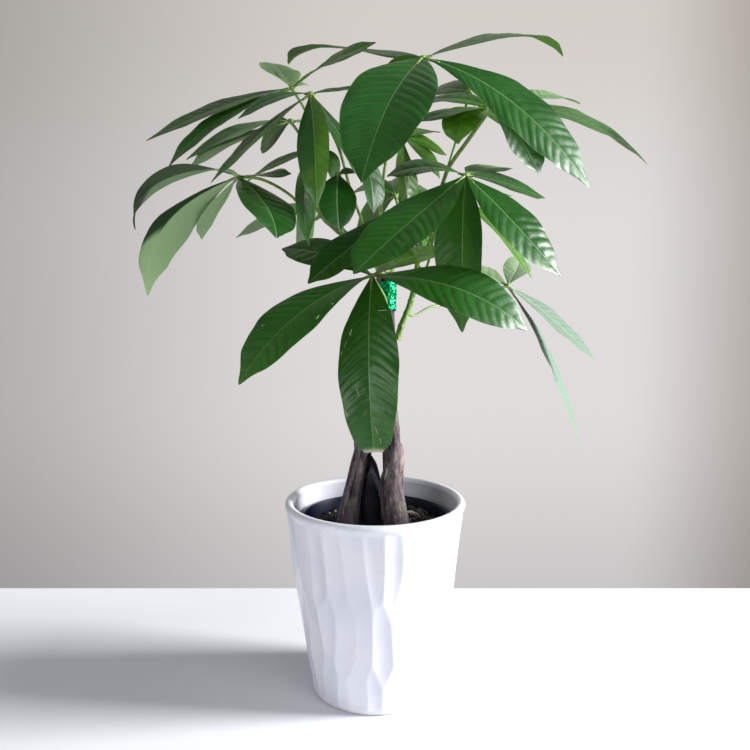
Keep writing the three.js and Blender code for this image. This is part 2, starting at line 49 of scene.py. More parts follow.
# The tables below are in millimetres, as the solids are: +Z up, the plant's front
# faces -Y, and the origin is the centre of the pot's flat bottom.
MM = 0.001
BODY = "root"
TURN = 2 * math.pi
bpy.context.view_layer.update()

# Cover pot
POT_HEIGHT = 155
POT_FOOT_RADIUS = 50.6
POT_FLARE = 0.172
POT_BELLY = 0.00029
POT_WALL = 4.6
POT_FLOOR = 9
FOOT_ROUNDING = 3
# Steps in degrees round the foot and the lip
FOOT_STEPS = range(0, 91, 18)
LIP_RADIUS = 3.3
LIP_CENTRE_RADIUS = 67.6
LIP_STEPS = range(-40, 210, 10)
INSIDE_HEIGHTS = range(146, 12, -9)
FLOOR_CORNER = 4
POT_SEGMENTS = 420
# The carving moves the points less than this far inside the plain wall
OUTER_SKIN = 3
CARVED_FROM = 1.5
CARVED_TO = 149
CARVING_RUN_OUT = 2.5
# Rows of gouges: how many, the height of their middle, half their length
GOUGE_ROWS = ((27, 124, 46), (26, 64, 36), (26, 12, 34))
GOUGE_SCOOP = 22
# How far a gouge strays sideways, leans, and sits higher or lower
GOUGE_STRAY = 0.16
GOUGE_LEAN = 0.1
GOUGE_SHIFT = 11
GOUGE_SEED = 7
# Where even the deepest gouge is this far from the wall, it stays plain
NO_GOUGE = -1
RIDGE_SOFTNESS = 0.14

# Nursery pot and soil
LINER_BOTTOM = 9.3
LINER_TOP = 141
LINER_FOOT_RADIUS = 43
LINER_TOP_RADIUS = 58
LINER_RIM_RADIUS = 59.6
LINER_RIM_HEIGHT = 5
LINER_WALL = 1.2
LINER_SEGMENTS = 120
SOIL_LEVEL = 132
SOIL_GAP = 0.3
SOIL_SEGMENTS = 200
SOIL_RINGS = 70
HEAP_HEIGHT = 1.6
HEAP_WIDTH = 9
SOIL_SEED = 21
CRUMBS = 420
CRUMB_SIZES = (0.5, 0.7, 0.7, 1.0, 1.5)
PALE_CRUMBS = 0.03
FINE_ROOTS = 26
STRAY_ROOTS = 0.3
TWIG = ((25, 13, 139, 1.1), (29, 15, 138.5, 1.5), (33, 18, 136, 1.5), (37, 20, 132.4, 1.1))

# Trunk
BRAID_START = 190
BRAID_END = 300
BRAID_AXIS_START = (3, 1)
BRAID_AXIS_END = (8, 0)
BRAID_TOP_OFFSET = 4.6
BRAID_KNOTS = 10
BRAID_CLOSING = 1.6
BRAID_THINNING = 1.3
STEM_TOP = 328
STEM_TOP_RADIUS = 3
STEM_ROWS = 260
STEM_SIDES = 40
# Stems: the places and radii of the foot, then the braid's offset and radius at its
# start and where round the trunk it starts and ends, in degrees
STEMS = {
    "stem_left": (
        ((-24, -2, 100, 8.4), (-22, -2, 132, 9), (-19.5, -2, 150, 7.8), (-15.5, -3, 170, 6.6)),
        (15.5, 5.6, 198, 388)),
    "stem_middle": (
        ((-3, 14, 100, 9.5), (-3, 13, 132, 11), (-3.8, 12, 150, 10.8), (-5.2, 11.8, 168, 9.4),
         (-7, 12.5, 178, 8.3)),
        (19.5, 5, 137, 298)),
    "stem_right": (
        ((19, -4, 100, 9.6), (17, -4, 132, 10.5), (14.5, -4, 150, 9.8), (12.2, -4, 170, 8)),
        (13.4, 4.7, 330, 478)),
    "stem_rear": (
        ((16, 20, 100, 8), (15.5, 18.5, 132, 8.6), (15.5, 15.5, 150, 7.5), (16.5, 11.5, 170, 6.2)),
        (16, 5.6, 386, 568)),
}
# How each stem's bark is painted, from painted shade (0) to painted light (1), standing in for how
# the window light falls on it, and how rugged
STEM_LOOKS = {
    "stem_left": (0.3, 0.5),
    "stem_middle": (0.0, 0.4),
    "stem_right": (0.5, 1.0),
    "stem_rear": (1.0, 0.7),
}

# Foil tie
FOIL_BOTTOM = 303
FOIL_TOP = 325
FOIL_RADIUS = 8.35
FOIL_THICKNESS = 0.25
FOIL_CREASES = 1.1
FOIL_EDGE_WAVE = 0.9
FOIL_GRID = (96, 48)

# Shoots: places and radii
SHOOT_ROWS = 120
SHOOT_SIDES = 24
SHOOTS = {
    "shoot_left": ((4, -2.2, 328.3, 2.9), (4, -2.2, 333, 2.8), (-7, -6, 346, 2.7),
                   (-25, -13, 361, 2.6), (-39, -18, 374, 2.4), (-44, -20, 385, 1.8)),
    "shoot_right": ((12.1, 2.1, 328.3, 2.9), (12.2, 2.2, 334, 2.8), (17, 1, 348, 2.7),
                    (29, -1, 361, 2.6), (38, 0, 373, 2.4), (43, 1, 385, 1.8)),
    "shoot_side": ((17.2, 2.5, 280, 2.4), (20, 4, 290, 2.4), (26, 8, 304, 2.3),
                   (31, 12, 322, 2.2), (33, 15, 340, 2), (34, 17, 352, 1.6)),
}
NODE_SPACING = 11
NODE_SWELL = 0.35
BUDS = 3
BUD_LENGTH = 7
# How far along a bud, and its radius there
BUD_SHAPE = ((0, 1.0), (0.35, 1.2), (0.75, 0.8), (1, 0.25))

# How a leaflet is painted on its two sides and at its tip, from painted shade below zero to painted
# light above zero, as if light shone through it; how faded, which is partly painted light too, a
# middling fade giving a lighter pale to leaflets in shade and a full fade a darker one to leaflets
# the window lights; and how much of its length is dried out at the tip
DEEP = (0, 0, 0, 0, 0)
# Painted shade over the whole leaflet
SHADY = (-0.5, -0.5, -0.5, 0, 0)
MID = (0.25, 0.25, 0.25, 0, 0)
# Painted light over the whole leaflet, as if the window shone through it
LIT_THROUGH = (0.65, 0.65, 0.65, 0, 0)
DULL = (0.5, 0.5, 0.5, 0.3, 0)
PALE = (0.4, 0.4, 0.4, 0.5, 0)
MISTY = (0.3, 0.3, 0.3, 0.65, 0)
FADED = (0.2, 0.2, 0.2, 0.83, 0)
# Painted light on the left half and the tip, or on the tip alone
HALF_LIT = (0.7, 0.05, 0.5, 0, 0)
LIT_TIP = (0, 0, 0.9, 0.1, 0)
# Painted shade on the left half, on the right half, at the tip, or on the right half and the hooked
# tip
LEFT_SHADED = (-0.95, 0.5, 0.4, 0.5, 0)
RIGHT_SHADED = (0.3, -0.7, 0.1, 0, 0)
SHADED_TIP = (0.1, 0.1, -0.8, 0.12, 0)
HOOKED_SHADED_TIP = (0.6, -0.8, -0.95, 0.45, 0)
CUT_TIP = (0, 0, 0, 0, 0.025)

# Leaves: hub, shoot it grows from, how far along it, the places its stalk bends
# through, and its leaflets. A leaflet is its width, roll, form, rib points counted
# from the hub, and look. The form is its fold, widest place and end, or the usual one.
USUAL_FORM = (5, 0.56, 1)
LEAVES = {
    "leaf_a": ((33, -35, 479), "shoot_right", 0.28, ((7, -14, 407), (20, -27, 448)), (
        (58, 15, 10, 0.46, 1, ((-25, -51, -42), (-41, -83, -92)), DEEP),
        (42, -45, 3, 0.58, 1, ((59, -23, -34), (111, -27, -90)), DEEP),
        (38, -15, 4, 0.56, 1, ((33, 15, 13), (76, 37, 25), (109, 55, 14)), LIT_TIP),
        (36, 15, 4, 0.56, 1, ((-33, 43, 15), (-76, 81, 28), (-104, 109, 21)), SHADY),
        (28, -32, 5, 0.5, 1, ((-14, 26, -8), (-24, 46, -32)), SHADY),
    )),
    "leaf_b": ((-44, -45, 453), "shoot_left", 0.45, ((-18, -22, 392), (-26, -32, 420)), (
        (24, 25, ((-24, -5, -4), (-49, -7, -18)), DEEP),
        (28, 5, ((-30, -25, -29), (-63, -35, -63)), RIGHT_SHADED),
        (25, -35, 12, 0.5, 1, ((5, -35, -39), (7, -47, -80)), HALF_LIT),
        (28, 15, ((20, -21, -29), (35, -33, -63)), DEEP),
        (24, -10, ((18, 15, 6), (38, 33, 12)), DEEP),
    )),
    "leaf_c": ((-61, 0, 466), "shoot_left", 0.7, ((-38, 3, 400), (-50, 2, 447)), (
        (28, -30, ((29, -12, 16), (62, -20, 27)), MID),
        (32, -5, ((-12, 36, 20), (-22, 66, 33)), DULL),
        (34, 25, ((-50, -8, -14), (-107, -8, -39)), RIGHT_SHADED),
        (32, 20, ((-50, -22, -26), (-86, -28, -60)), DEEP),
        (30, -20, ((-4, 34, 14), (-9, 64, 20)), DULL),
    )),
    "leaf_d": ((-61, -16, 440), "shoot_left", 0.97, ((-46, -15, 408), (-53, -17, 428)), (
        (30, 25, ((-35, -6, -7), (-76, -2, -28)), PALE),
        (30, 20, ((-41, -16, -17), (-71, -14, -35)), PALE),
        (26, 75, 5, 0.56, 0.92, ((-15, 24, -5), (-30, 46, -13)), CUT_TIP),
        (24, -25, ((23, 4, -3), (44, 6, -14)), PALE),
    )),
    "leaf_e": ((-95, -42, 398), "shoot_left", 0.8, ((-61, -24, 387), (-80, -35, 397)), (
        (36, 25, 8, 0.56, 1, ((-23, -16, 3), (-55, -20, -9), (-70, -10, -37)), HOOKED_SHADED_TIP),
        (43, -15, -17, 0.62, 1, ((-31, 6, -13), (-60, 14, -39), (-71, 16, -83)), LEFT_SHADED),
        (26, 25, ((-22, 24, -20), (-35, 38, -42)), PALE),
        (40, 10, 6, 0.52, 1, ((23, -34, -21), (33, -58, -44)), SHADY),
        (24, -15, ((20, -8, 1), (38, -10, 1)), DEEP),
    )),
    "leaf_n": ((-43, -34, 417), "shoot_left", 0.9, ((-41, -30, 396),), (
        (28, 70, ((-6, -18, -36), (-2, -22, -67)), DEEP),
        (26, -80, ((13, 8, -11), (8, 14, -33)), MID),
        (22, 30, ((-29, 18, -7), (-54, 22, -22)), LIT_THROUGH),
    )),
    "leaf_p": ((-25, -56, 398), "shoot_left", 0.68, ((-31, -44, 390),), (
        (26, 5, 6, 0.45, 1, ((0, -18, -20), (2, -26, -39)), SHADY),
        (11, -25, ((8, 5, 3), (16, 8, 2)), MID),
    )),
    "leaf_o": ((-47, 66, 386), "shoot_left", 0.3, ((-16, 20, 356), (-31, 44, 371)), (
        (32, 35, ((-38, 18, -8), (-74, 26, -26)), PALE),
        (34, 100, ((-13, 34, -15), (-21, 56, -46)), PALE),
        (34, -5, ((4, 40, 14), (5, 84, 11)), PALE),
    )),
    "leaf_g": ((-2, -45, 330), "stem_middle", 0.86, ((8, -19, 311), (2, -33, 323)), (
        (46, 20, 5, 0.58, 1, ((-49, -35, -25), (-87, -51, -70)), DEEP),
        (44, -25, 6, 0.5, 0.885, ((-2, -37, -59), (3, -47, -135)), CUT_TIP),
        (42, -40, 4, 0.52, 1, ((56, -31, -8), (104, -33, -36)), DEEP),
        (36, 30, 4, 0.56, 1, ((-34, 15, 15), (-67, 31, 19)), SHADY),
        (32, -10, ((26, 23, 12), (53, 51, 22)), LIT_THROUGH),
    )),
    "leaf_q": ((19, -36, 379), "shoot_right", 0.4, ((19, -18, 362),), (
        (36, 20, 6, 0.56, 1, ((-35, -26, -29), (-64, -38, -54)), SHADY),
        (20, 40, ((-14, 10, -10), (-28, 14, -18)), MID),
        (22, -45, ((12, 10, -12), (22, 20, -30)), LIT_THROUGH),
    )),
    "leaf_h": ((64, -32, 400), "shoot_right", 0.72, ((50, -16, 376), (61, -28, 390)), (
        (44, 15, 6, 0.5, 1, ((-45, -56, -38), (-77, -90, -68)), DEEP),
        (42, -25, 18, 0.48, 1, ((-3, -12, -54), (-1, -4, -111)), DEEP),
        (40, -30, 5, 0.54, 1, ((30, -24, -33), (63, -28, -70)), DEEP),
        (32, -30, ((30, 10, -4), (62, 24, -14)), DEEP),
        (32, -10, ((20, 38, 9), (41, 78, 14)), DULL),
        (32, 25, ((-29, 2, 6), (-56, 8, 0)), DEEP),
    )),
    "leaf_m": ((-8, -46, 418), "shoot_right", 0.16, ((4, -10, 370), (-2, -26, 402)), (
        (26, 25, 10, 0.52, 1, ((5, -10, -24), (7, -14, -46)), DEEP),
        (14, 45, ((-5, 8, -1), (-9, 13, -5)), MID),
        (14, -25, ((6, 12, 5), (11, 20, 1)), MID),
        (24, -95, ((2, 24, 9), (1, 48, 8)), MID),
    )),
    "leaf_i": ((21, 22, 434), "shoot_right", 0.5, ((19, 12, 389), (19, 18, 417)), (
        (30, 30, 8, 0.56, 1, ((2, -18, -34), (6, -14, -67)), LIT_THROUGH),
        (22, -30, ((17, -4, -13), (29, -2, -31)), LIT_THROUGH),
        (22, -40, ((19, 10, -3), (36, 18, -11)), LIT_THROUGH),
        (24, -15, ((15, 20, 8), (32, 40, 10)), LIT_THROUGH),
        (24, 45, ((-11, 22, 3), (-23, 38, -4)), LIT_THROUGH),
    )),
    "leaf_j": ((84, -8, 450), "shoot_right", 0.96, ((54, 0, 407), (69, -4, 429)), (
        (32, 20, 10, 0.5, 1, ((-21, -18, -10), (-25, -20, -28)), LIT_THROUGH),
        (28, 25, ((-24, 14, 10), (-50, 28, 9)), MID),
        (26, 15, ((-27, -16, -5), (-54, -22, -13)), DEEP),
        (38, -40, 6, 0.56, 1, ((22, 0, -21), (36, -4, -47)), SHADY),
        (34, -20, ((41, 28, 15), (80, 58, 14)), DULL),
        (34, -30, 4, 0.56, 1, ((66, 8, -5), (121, 14, -38)), SHADED_TIP),
    )),
    "leaf_k": ((110, 56, 320), "shoot_side", 0.36, ((44, 22, 304), (74, 44, 307)), (
        (24, -10, ((12, 28, 13), (19, 54, 23)), MISTY),
        (34, -20, ((37, -2, -27), (75, -6, -63)), FADED),
        (38, -20, ((37, 6, -61), (67, 4, -138)), FADED),
        (32, 10, ((-25, 22, 13), (-53, 40, 19)), PALE),
    )),
    "leaf_l": ((63, 26, 390), "shoot_side", 0.74, ((48, 22, 366),), (
        (30, -15, ((31, -8, -24), (59, -12, -64)), LIT_THROUGH),
        (28, -20, ((24, 18, 5), (50, 34, 3)), MID),
        (32, -85, ((11, 8, -33), (14, 14, -70)), MID),
    )),
    "leaf_r": ((17, 74, 394), "shoot_side", 0.84, ((22, 46, 372),), (
        (38, 80, ((-20, 44, -14), (-38, 68, -51)), MID),
        (38, -90, ((20, 46, -12), (36, 72, -51)), MID),
        (38, 20, ((-2, 50, 18), (-5, 96, 8)), MID),
        (32, 25, ((-23, 18, 10), (-48, 34, -4)), MID),
        (32, -25, ((22, 26, 9), (45, 48, -3)), MID),
    )),
    "leaf_s": ((78, 72, 478), "shoot_side", 0.98, ((51, 30, 395), (61, 44, 423)), (
        (36, -35, ((31, 38, 8), (61, 68, -4)), MID),
        (36, 110, ((6, 50, 17), (11, 92, 8)), MID),
        (36, 30, ((-22, 32, 8), (-47, 58, 1)), MID),
        (28, -20, ((13, -16, -16), (33, -12, -31)), MID),
    )),
}
# Leaflets with a round end
ROUND_ENDED = {("leaf_c", 1), ("leaf_c", 4), ("leaf_k", 0)}
# Pale scratches on two old leaflets: across and along at one end, then at the other,
# as shares of the half width and of the length, and how thick
SCRATCHES = {
    ("leaf_g", 0): ((0.62, 0.66, 0.7, 0.675, 0.22), (0.74, 0.7, 0.76, 0.705, 0.25),
                    (-0.75, 0.45, -0.8, 0.475, 0.25), (-0.84, 0.34, -0.84, 0.35, 0.25)),
    ("leaf_g", 1): ((0.95, 0.44, 0.7, 0.335, 0.18), (0.68, 0.31, 0.7, 0.34, 0.45),
                    (0.47, 0.585, 0.36, 0.64, 0.25), (0.93, 0.7, 0.9, 0.725, 0.35),
                    (-0.12, 0.775, -0.28, 0.805, 0.25), (-0.38, 0.825, -0.45, 0.85, 0.25),
                    (-0.45, 0.23, -0.85, 0.235, 0.3)),
}
LEAF_SEED = 40
BLADE_ROOT_HALF_WIDTH = 0.9
BLADE_TIP_HALF_WIDTH = 0.12
BASE_FULLNESS = 0.95
TIP_FULLNESS = 0.7
ROUND_TIP_FULLNESS = 0.5
POINTED_TIP = 0.35
CUT_END = 0.3
BLADE_THICKNESS = 0.42
RIM_DROOP = 0.035
RIM_WAVE = 0.035
# Depth and width of the midrib's groove above and its keel beneath
RIB_GROOVE = (0.3, 0.8)
RIB_KEEL = (0.35, 0.7)
# Short blades first, then long ones
LONG_BLADE = 60
COLUMNS = (14, 20)
ROWS_PER_VEIN = (5, 6)
VEIN_SPACING = 8.2
FEWEST_VEINS = 7
# Columns crowd towards the midrib, and rows sweep up towards the tip
CROWDING = 1.35
SWEEP = 0.34
SWEEP_POWER = 1.25
PLEAT_FULL_WIDTH = 44
PLEAT_POWER = 1.5
PUCKER = 0.4
# Steps along the rib at a leaflet's own short stalk, and its radii
STALKLET_STEP = 0.045
STALKLET_RADII = (1.25, 1.05, 0.8)
STALK_ROWS = 70
STALK_SIDES = 12
STALK_RADIUS = 1.05
STOUT_STALKS = {"leaf_j": 1.5}
STALK_FOOT_RADIUS = 1.8
STALK_FOOT_LENGTH = 4
# How far the stalk's start is below the shoot's surface, and its foot above it
STALK_SUNK = 0.8
STALK_CLEAR = 0.3
HUB_RADIUS = 2.3
HUB_FLATNESS = 0.75

# Camera, worked out from the rim's ellipse and the pot's height in the photograph
CAMERA_PLACE = (0, -612, 339)
CAMERA_PITCH = 8
CAMERA_SENSOR = 36

# Stage, in metres
TABLE_SIZE = (1.6, 0.7, 1)
TABLE_PLACE = (0, -0.51, -0.0002)
WALL_SIZE = (4, 1, 3)
WALL_PLACE = (0, 2.2, 0.5)
# Where the wall's light falls off: axis, from, to, and what is left of it there
WALL_FADES = (
    ("X", 0.1, -1.75, (0.55, 0.55, 0.545)),
    ("X", 0.85, 1.5, (0.56, 0.525, 0.495)),
    ("Z", -0.1, -1.1, (0.75, 0.76, 0.77)),
    ("Z", 0.4, 1.2, (0.88, 0.865, 0.82)),
)
# Lamps: name, place, what it aims at, size and colour
LAMPS = (
    ("window", (6.14, -0.24, 2.18), (0.0, 0.0, 0.2), (1.8, 3.6), (0.97, 0.98, 1.0)),
    ("front", (1.3, -1.5, 1.0), (0.0, 0.0, 0.2), (1.4, 1.2), (0.97, 0.98, 1.0)),
    ("fill", (-1.7, -1.2, 0.65), (0.0, 0.0, 0.15), (1.2, 0.8), (0.92, 0.95, 1.0)),
)


def mix(a, b, share):
    return a + (b - a) * share


def ramp(value, low, high):
    share = min(max((value - low) / (high - low), 0), 1)
    return share * share * (3 - 2 * share)


# Curves through knots, the same as the solids'
def catmull_rom(knots, place):
    """The point at a place counted in knots."""
    last = len(knots) - 1
    i = min(int(place), last - 1)
    share = place - i
    before = knots[i - 1] if i > 0 else knots[0] * 2 - knots[1]
    after = knots[i + 2] if i + 2 <= last else knots[last] * 2 - knots[last - 1]
    start, end = knots[i], knots[i + 1]
    first = max(math.sqrt((start - before).length), 1e-4)
    middle = max(math.sqrt((end - start).length), 1e-4)
    third = max(math.sqrt((after - end).length), 1e-4)
    leave = ((start - before) / first - (end - before) / (first + middle)
             + (end - start) / middle) * middle
    reach = ((end - start) / middle - (after - start) / (middle + third)
             + (after - end) / third) * middle
    square, cube = share * share, share ** 3
    return (start + leave * share + (end * 3 - start * 3 - leave * 2 - reach) * square
            + (start * 2 - end * 2 + leave + reach) * cube)


def stations(knots, steps, samples=24):
    """Evenly spaced stations along the curve: middle, radius, two sides and reach."""
    centres = [Vector(knot[:3]) for knot in knots]
    count = (len(knots) - 1) * samples
    line = [catmull_rom(centres, i / samples) for i in range(count + 1)]
    reach = [0.0]
    for a, b in zip(line, line[1:]):
        reach.append(reach[-1] + (b - a).length)
    made = []
    j = 0
    for step in range(steps + 1):
        want = reach[-1] * step / steps
        while j < count - 1 and reach[j + 1] < want:
            j += 1
        share = (want - reach[j]) / max(reach[j + 1] - reach[j], 1e-9)
        place = (j + min(share, 1)) / samples
        knot = min(int(place), len(knots) - 2)
        radius = mix(knots[knot][3], knots[knot + 1][3], place - knot)
        made.append([catmull_rom(centres, place), radius])
    side = None
    for i, station in enumerate(made):
        ahead = made[min(i + 1, steps)][0] - made[max(i - 1, 0)][0]
        ahead.normalize()
        if side is None:
            side = ahead.orthogonal().normalized()
        side = (side - ahead * side.dot(ahead)).normalized()
        station += [side.copy(), ahead.cross(side), reach[-1] * i / steps]
    return made


# Mesh tools
def new_mesh(*marks):
    """An empty mesh with a UV map and the named marks on its points."""
    bm = bmesh.new()
    bm.loops.layers.uv.new("UVMap")
    for name in marks:
        bm.verts.layers.float.new(name)
    return bm


def sheet(bm, across, along, shape):
    """A grid whose points are moved by shape(c, s), with c from -1 to 1 and s from 0 to 1."""
    made = bmesh.ops.create_grid(bm, x_segments=across, y_segments=along, size=1)["verts"]
    places = {}
    for vert in made:
        places[vert] = (vert.co.x, (vert.co.y + 1) / 2)
        vert.co = shape(*places[vert])
    return places


def faces_of(verts):
    """The faces round these points."""
    return list({face for vert in verts for face in vert.link_faces})


def label(bm, places, uv_of, material=0, **marks):
    """Gives the points of a sheet their UVs, marks and material."""
    uv = bm.loops.layers.uv.verify()
    for face in faces_of(places):
        face.material_index = material
        face.smooth = True
        for loop in face.loops:
            if loop.vert in places:
                loop[uv].uv = uv_of(*places[loop.vert])
    for name, mark in marks.items():
        layer = bm.verts.layers.float[name]
        for vert, place in places.items():
            vert[layer] = mark(*place) if callable(mark) else mark


def tube(bm, line, sides, material=0, swell=None, marks=None):
    """A round tube along the stations, closed at both ends. swell(angle, share,
    reach) adds to the radius."""
    steps = len(line) - 1

    def shape(c, s):
        middle, radius, side, other, reach = line[round(s * steps)]
        angle = c * math.pi
        grown = radius + (swell(angle, s, reach) if swell else 0)
        return middle + side * (math.cos(angle) * grown) + other * (math.sin(angle) * grown)

    places = sheet(bm, sides, steps, shape)
    length = line[-1][4]
    label(bm, places, lambda c, s: (c, s * length), material, **(marks or {}))
    bmesh.ops.remove_doubles(bm, verts=list(places), dist=1e-5)
    rim = {edge for vert in places if vert.is_valid
           for edge in vert.link_edges if edge.is_boundary}
    for face in bmesh.ops.holes_fill(bm, edges=list(rim), sides=0)["faces"]:
        face.material_index = material


def turned(bm, profile, segments):
    """A closed profile of (radius, height) points turned round the upright axis."""
    verts = [bm.verts.new((radius, 0, height)) for radius, height in profile]
    edges = [bm.edges.new(pair) for pair in zip(verts, verts[1:])]
    bmesh.ops.spin(bm, geom=verts + edges, cent=(0, 0, 0), axis=(0, 0, 1), angle=TURN,
                   steps=segments, use_merge=True)
    bmesh.ops.remove_doubles(bm, verts=bm.verts[:], dist=1e-4)


def new_object(bm, name, materials):
    mesh = bpy.data.meshes.new(name)
    bm.to_mesh(mesh)
    bm.free()
    for material in materials:
        mesh.materials.append(material)
    made = bpy.data.objects.new(name, mesh)
    bpy.context.scene.collection.objects.link(made)
    return made


def finish_piece(bm, name, node, materials):
    """Makes the piece from a mesh in millimetres, riding on the body in place of its node."""
    bmesh.ops.recalc_face_normals(bm, faces=bm.faces[:])
    bmesh.ops.scale(bm, vec=(MM, MM, MM), verts=bm.verts[:])
    for face in bm.faces:
        face.smooth = True
    piece = new_object(bm, name, materials)
    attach(piece, BODY)
    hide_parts(node)


# Materials
class Web:
    """A material's node web round one Principled shader."""

    def __init__(self, name, roughness=0.5, **settings):
        self.material = bpy.data.materials.new(name)
        self.material.use_nodes = True
        self.tree = self.material.node_tree
        self.surface = self.tree.nodes["Principled BSDF"]
        self.feed(self.surface, Roughness=roughness, **settings)

    def link(self, value, socket):
        """Links a socket to another, or sets it to a number, a place or a colour."""
        if isinstance(value, bpy.types.NodeSocket):
            self.tree.links.new(value, socket)
        elif socket.type == "RGBA":
            socket.default_value = (*value, 1)
        else:
            socket.default_value = value

    def feed(self, node, **inputs):
        """Links a node's inputs by name."""
        for name, value in inputs.items():
            self.link(value, node.inputs[name.replace("_", " ")])
        return node

    def fill(self, node, *values):
        """Links a node's inputs in their order, and gives its first output."""
        for socket, value in zip(node.inputs, values):
            self.link(value, socket)
        return node.outputs[0]

    def node(self, kind, **settings):
        made = self.tree.nodes.new("ShaderNode" + kind)
        for name, value in settings.items():
            setattr(made, name, value)
        return made

    def place(self, source="Object", scale=None):
        where = self.node("TexCoord").outputs[source]
        if scale is None:
            return where
        return self.feed(self.node("Mapping"), Vector=where, Scale=scale).outputs["Vector"]

    def axes(self, where):
        return self.feed(self.node("SeparateXYZ"), Vector=where).outputs

    def mark(self, name):
        return self.node("Attribute", attribute_name=name).outputs["Fac"]

    def maths(self, operation, *numbers):
        return self.fill(self.node("Math", operation=operation), *numbers)

    def times(self, a, b):
        return self.maths("MULTIPLY", a, b)

    def noise(self, where, scale, detail=4.0, roughness=0.55):
        made = self.node("TexNoise")
        self.feed(made, Vector=where, Scale=scale, Detail=detail, Roughness=roughness)
        return made.outputs["Fac"]

    def cells(self, where, scale, feature="F1"):
        made = self.node("TexVoronoi", feature=feature)
        return self.feed(made, Vector=where, Scale=scale).outputs["Distance"]

    def fade(self, value, low, high, to_low=0.0, to_high=1.0):
        made = self.node("MapRange", interpolation_type="SMOOTHSTEP")
        return self.fill(made, value, low, high, to_low, to_high)

    def blend(self, share, a, b, kind="MIX"):
        made = self.node("Mix", data_type="RGBA", blend_type=kind)
        self.link(share, made.inputs["Factor"])
        colours = [socket for socket in made.inputs if socket.type == "RGBA"]
        self.link(a, colours[0])
        self.link(b, colours[1])
        return next(socket for socket in made.outputs if socket.type == "RGBA")

    def cover(self, under, share, strength, colour):
        """The colour over what is under it, as far as the share and the strength say."""
        return self.blend(self.times(share, strength), under, colour)

    def bump(self, height, strength, distance, under=None):
        made = self.feed(self.node("Bump"), Strength=strength, Distance=distance, Height=height)
        if under is not None:
            self.link(under, made.inputs["Normal"])
        return made.outputs["Normal"]

    def done(self, colour, relief=None, roughness=None):
        """The material, once its surface has this colour, relief and roughness."""
        self.feed(self.surface, Base_Color=colour)
        if relief is not None:
            self.feed(self.surface, Normal=relief)
        if roughness is not None:
            self.feed(self.surface, Roughness=roughness)
        return self.material

    def shown_by(self, shader):
        """The material, once this shader is what it shows."""
        self.feed(self.tree.nodes["Material Output"], Surface=shader.outputs[0])
        return self.material


def brighter(colour, times):
    return tuple(part * times for part in colour)


def glaze_finish(settings):
    """White glaze with faint grey mottling and a soft ripple."""
    web = Web("white_glaze", roughness=0.3, Coat_Weight=0.35, Coat_Roughness=0.12)
    where = web.place()
    cloud = web.noise(where, 22.0, 3.0)
    shown = web.blend(web.fade(cloud, 0.35, 0.7), settings.glaze, settings.glaze_shade)
    ripple = web.bump(web.noise(where, 120.0, 3.0), 0.12, 0.0006)
    return web.done(shown, ripple, web.fade(cloud, 0.2, 0.8, 0.26, 0.36))


def liner_finish(settings):
    """Thin black plastic with dusty patches."""
    web = Web("black_plastic", Specular_IOR_Level=0.15)
    where = web.place()
    dust = web.fade(web.noise(where, 60.0, 5.0), 0.45, 0.75)
    shown = web.cover(settings.liner_colour, dust, 0.15, (0.08, 0.09, 0.12))
    grain = web.bump(web.noise(where, 700.0, 2.0), 0.1, 0.0003)
    return web.done(shown, grain, web.fade(dust, 0.0, 1.0, 0.34, 0.6))


def soil_finish(settings):
    """Damp dark potting soil with paler grains."""
    web = Web("potting_soil", roughness=0.95)
    where = web.place()
    clods = web.noise(where, 180.0, 8.0, 0.7)
    dark = web.blend(web.fade(clods, 0.3, 0.72), settings.soil_colour, (0.017, 0.015, 0.019))
    pale = web.fade(web.noise(where, 620.0, 3.0), 0.66, 0.74)
    height = web.maths("ADD", clods, web.times(web.cells(where, 420.0), 0.6))
    return web.done(web.cover(dark, pale, 0.4, (0.2, 0.16, 0.13)), web.bump(height, 0.9, 0.0015))


def root_finish():
    """Pale dry roots and bits of wood."""
    web = Web("fine_root", roughness=0.8)
    fibres = web.fade(web.noise(web.place(), 500.0, 3.0), 0.35, 0.65)
    return web.done(web.blend(fibres, (0.14, 0.11, 0.10), (0.36, 0.29, 0.26)))


def bark_finish(settings, name, light):
    """Bark that runs along the stem, flaky where it is old."""
    web = Web(name, roughness=0.85)
    where = web.place()
    fibres = web.noise(web.place(scale=(1.0, 1.0, 0.22)), 260.0, 7.0, 0.65)
    flakes = web.noise(web.place(scale=(1.0, 1.0, 0.5)), 130.0, 6.0, 0.7)
    # Each colour is blended between a painted-shade and a painted-light copy, by how lit the stem
    # is painted
    ridges = web.blend(light, settings.bark_dark, settings.lit_bark)
    shown = web.blend(web.fade(fibres, 0.3, 0.62), (0.014, 0.011, 0.014), ridges)
    worn = web.blend(light, (0.045, 0.04, 0.055), (0.46, 0.37, 0.33))
    shown = web.cover(shown, web.fade(flakes, 0.48, 0.68), 0.75, worn)
    grey = web.blend(light, (0.025, 0.024, 0.036), (0.16, 0.13, 0.13))
    patches = web.fade(web.noise(where, 55.0, 5.0, 0.6), 0.5, 0.7)
    shown = web.cover(shown, patches, 0.6, grey)
    lichen = web.fade(web.noise(where, 38.0, 3.0), 0.62, 0.72)
    shown = web.cover(shown, lichen, 0.3, (0.2, 0.2, 0.13))
    height = web.maths("ADD", fibres, web.times(flakes, 0.8))
    return web.done(shown, web.bump(height, 0.9, 0.0016), web.fade(flakes, 0.3, 0.7, 0.95, 0.7))


def foil_finish(settings):
    """Shiny green foil with a fine crinkle."""
    web = Web("green_foil", roughness=0.28, Metallic=0.85)
    where = web.place()
    cloud = web.fade(web.noise(where, 240.0, 3.0), 0.35, 0.65)
    shown = web.blend(cloud, settings.foil_colour, (0.0, 0.16, 0.07))
    return web.done(shown, web.bump(web.cells(where, 420.0), 0.5, 0.0006))


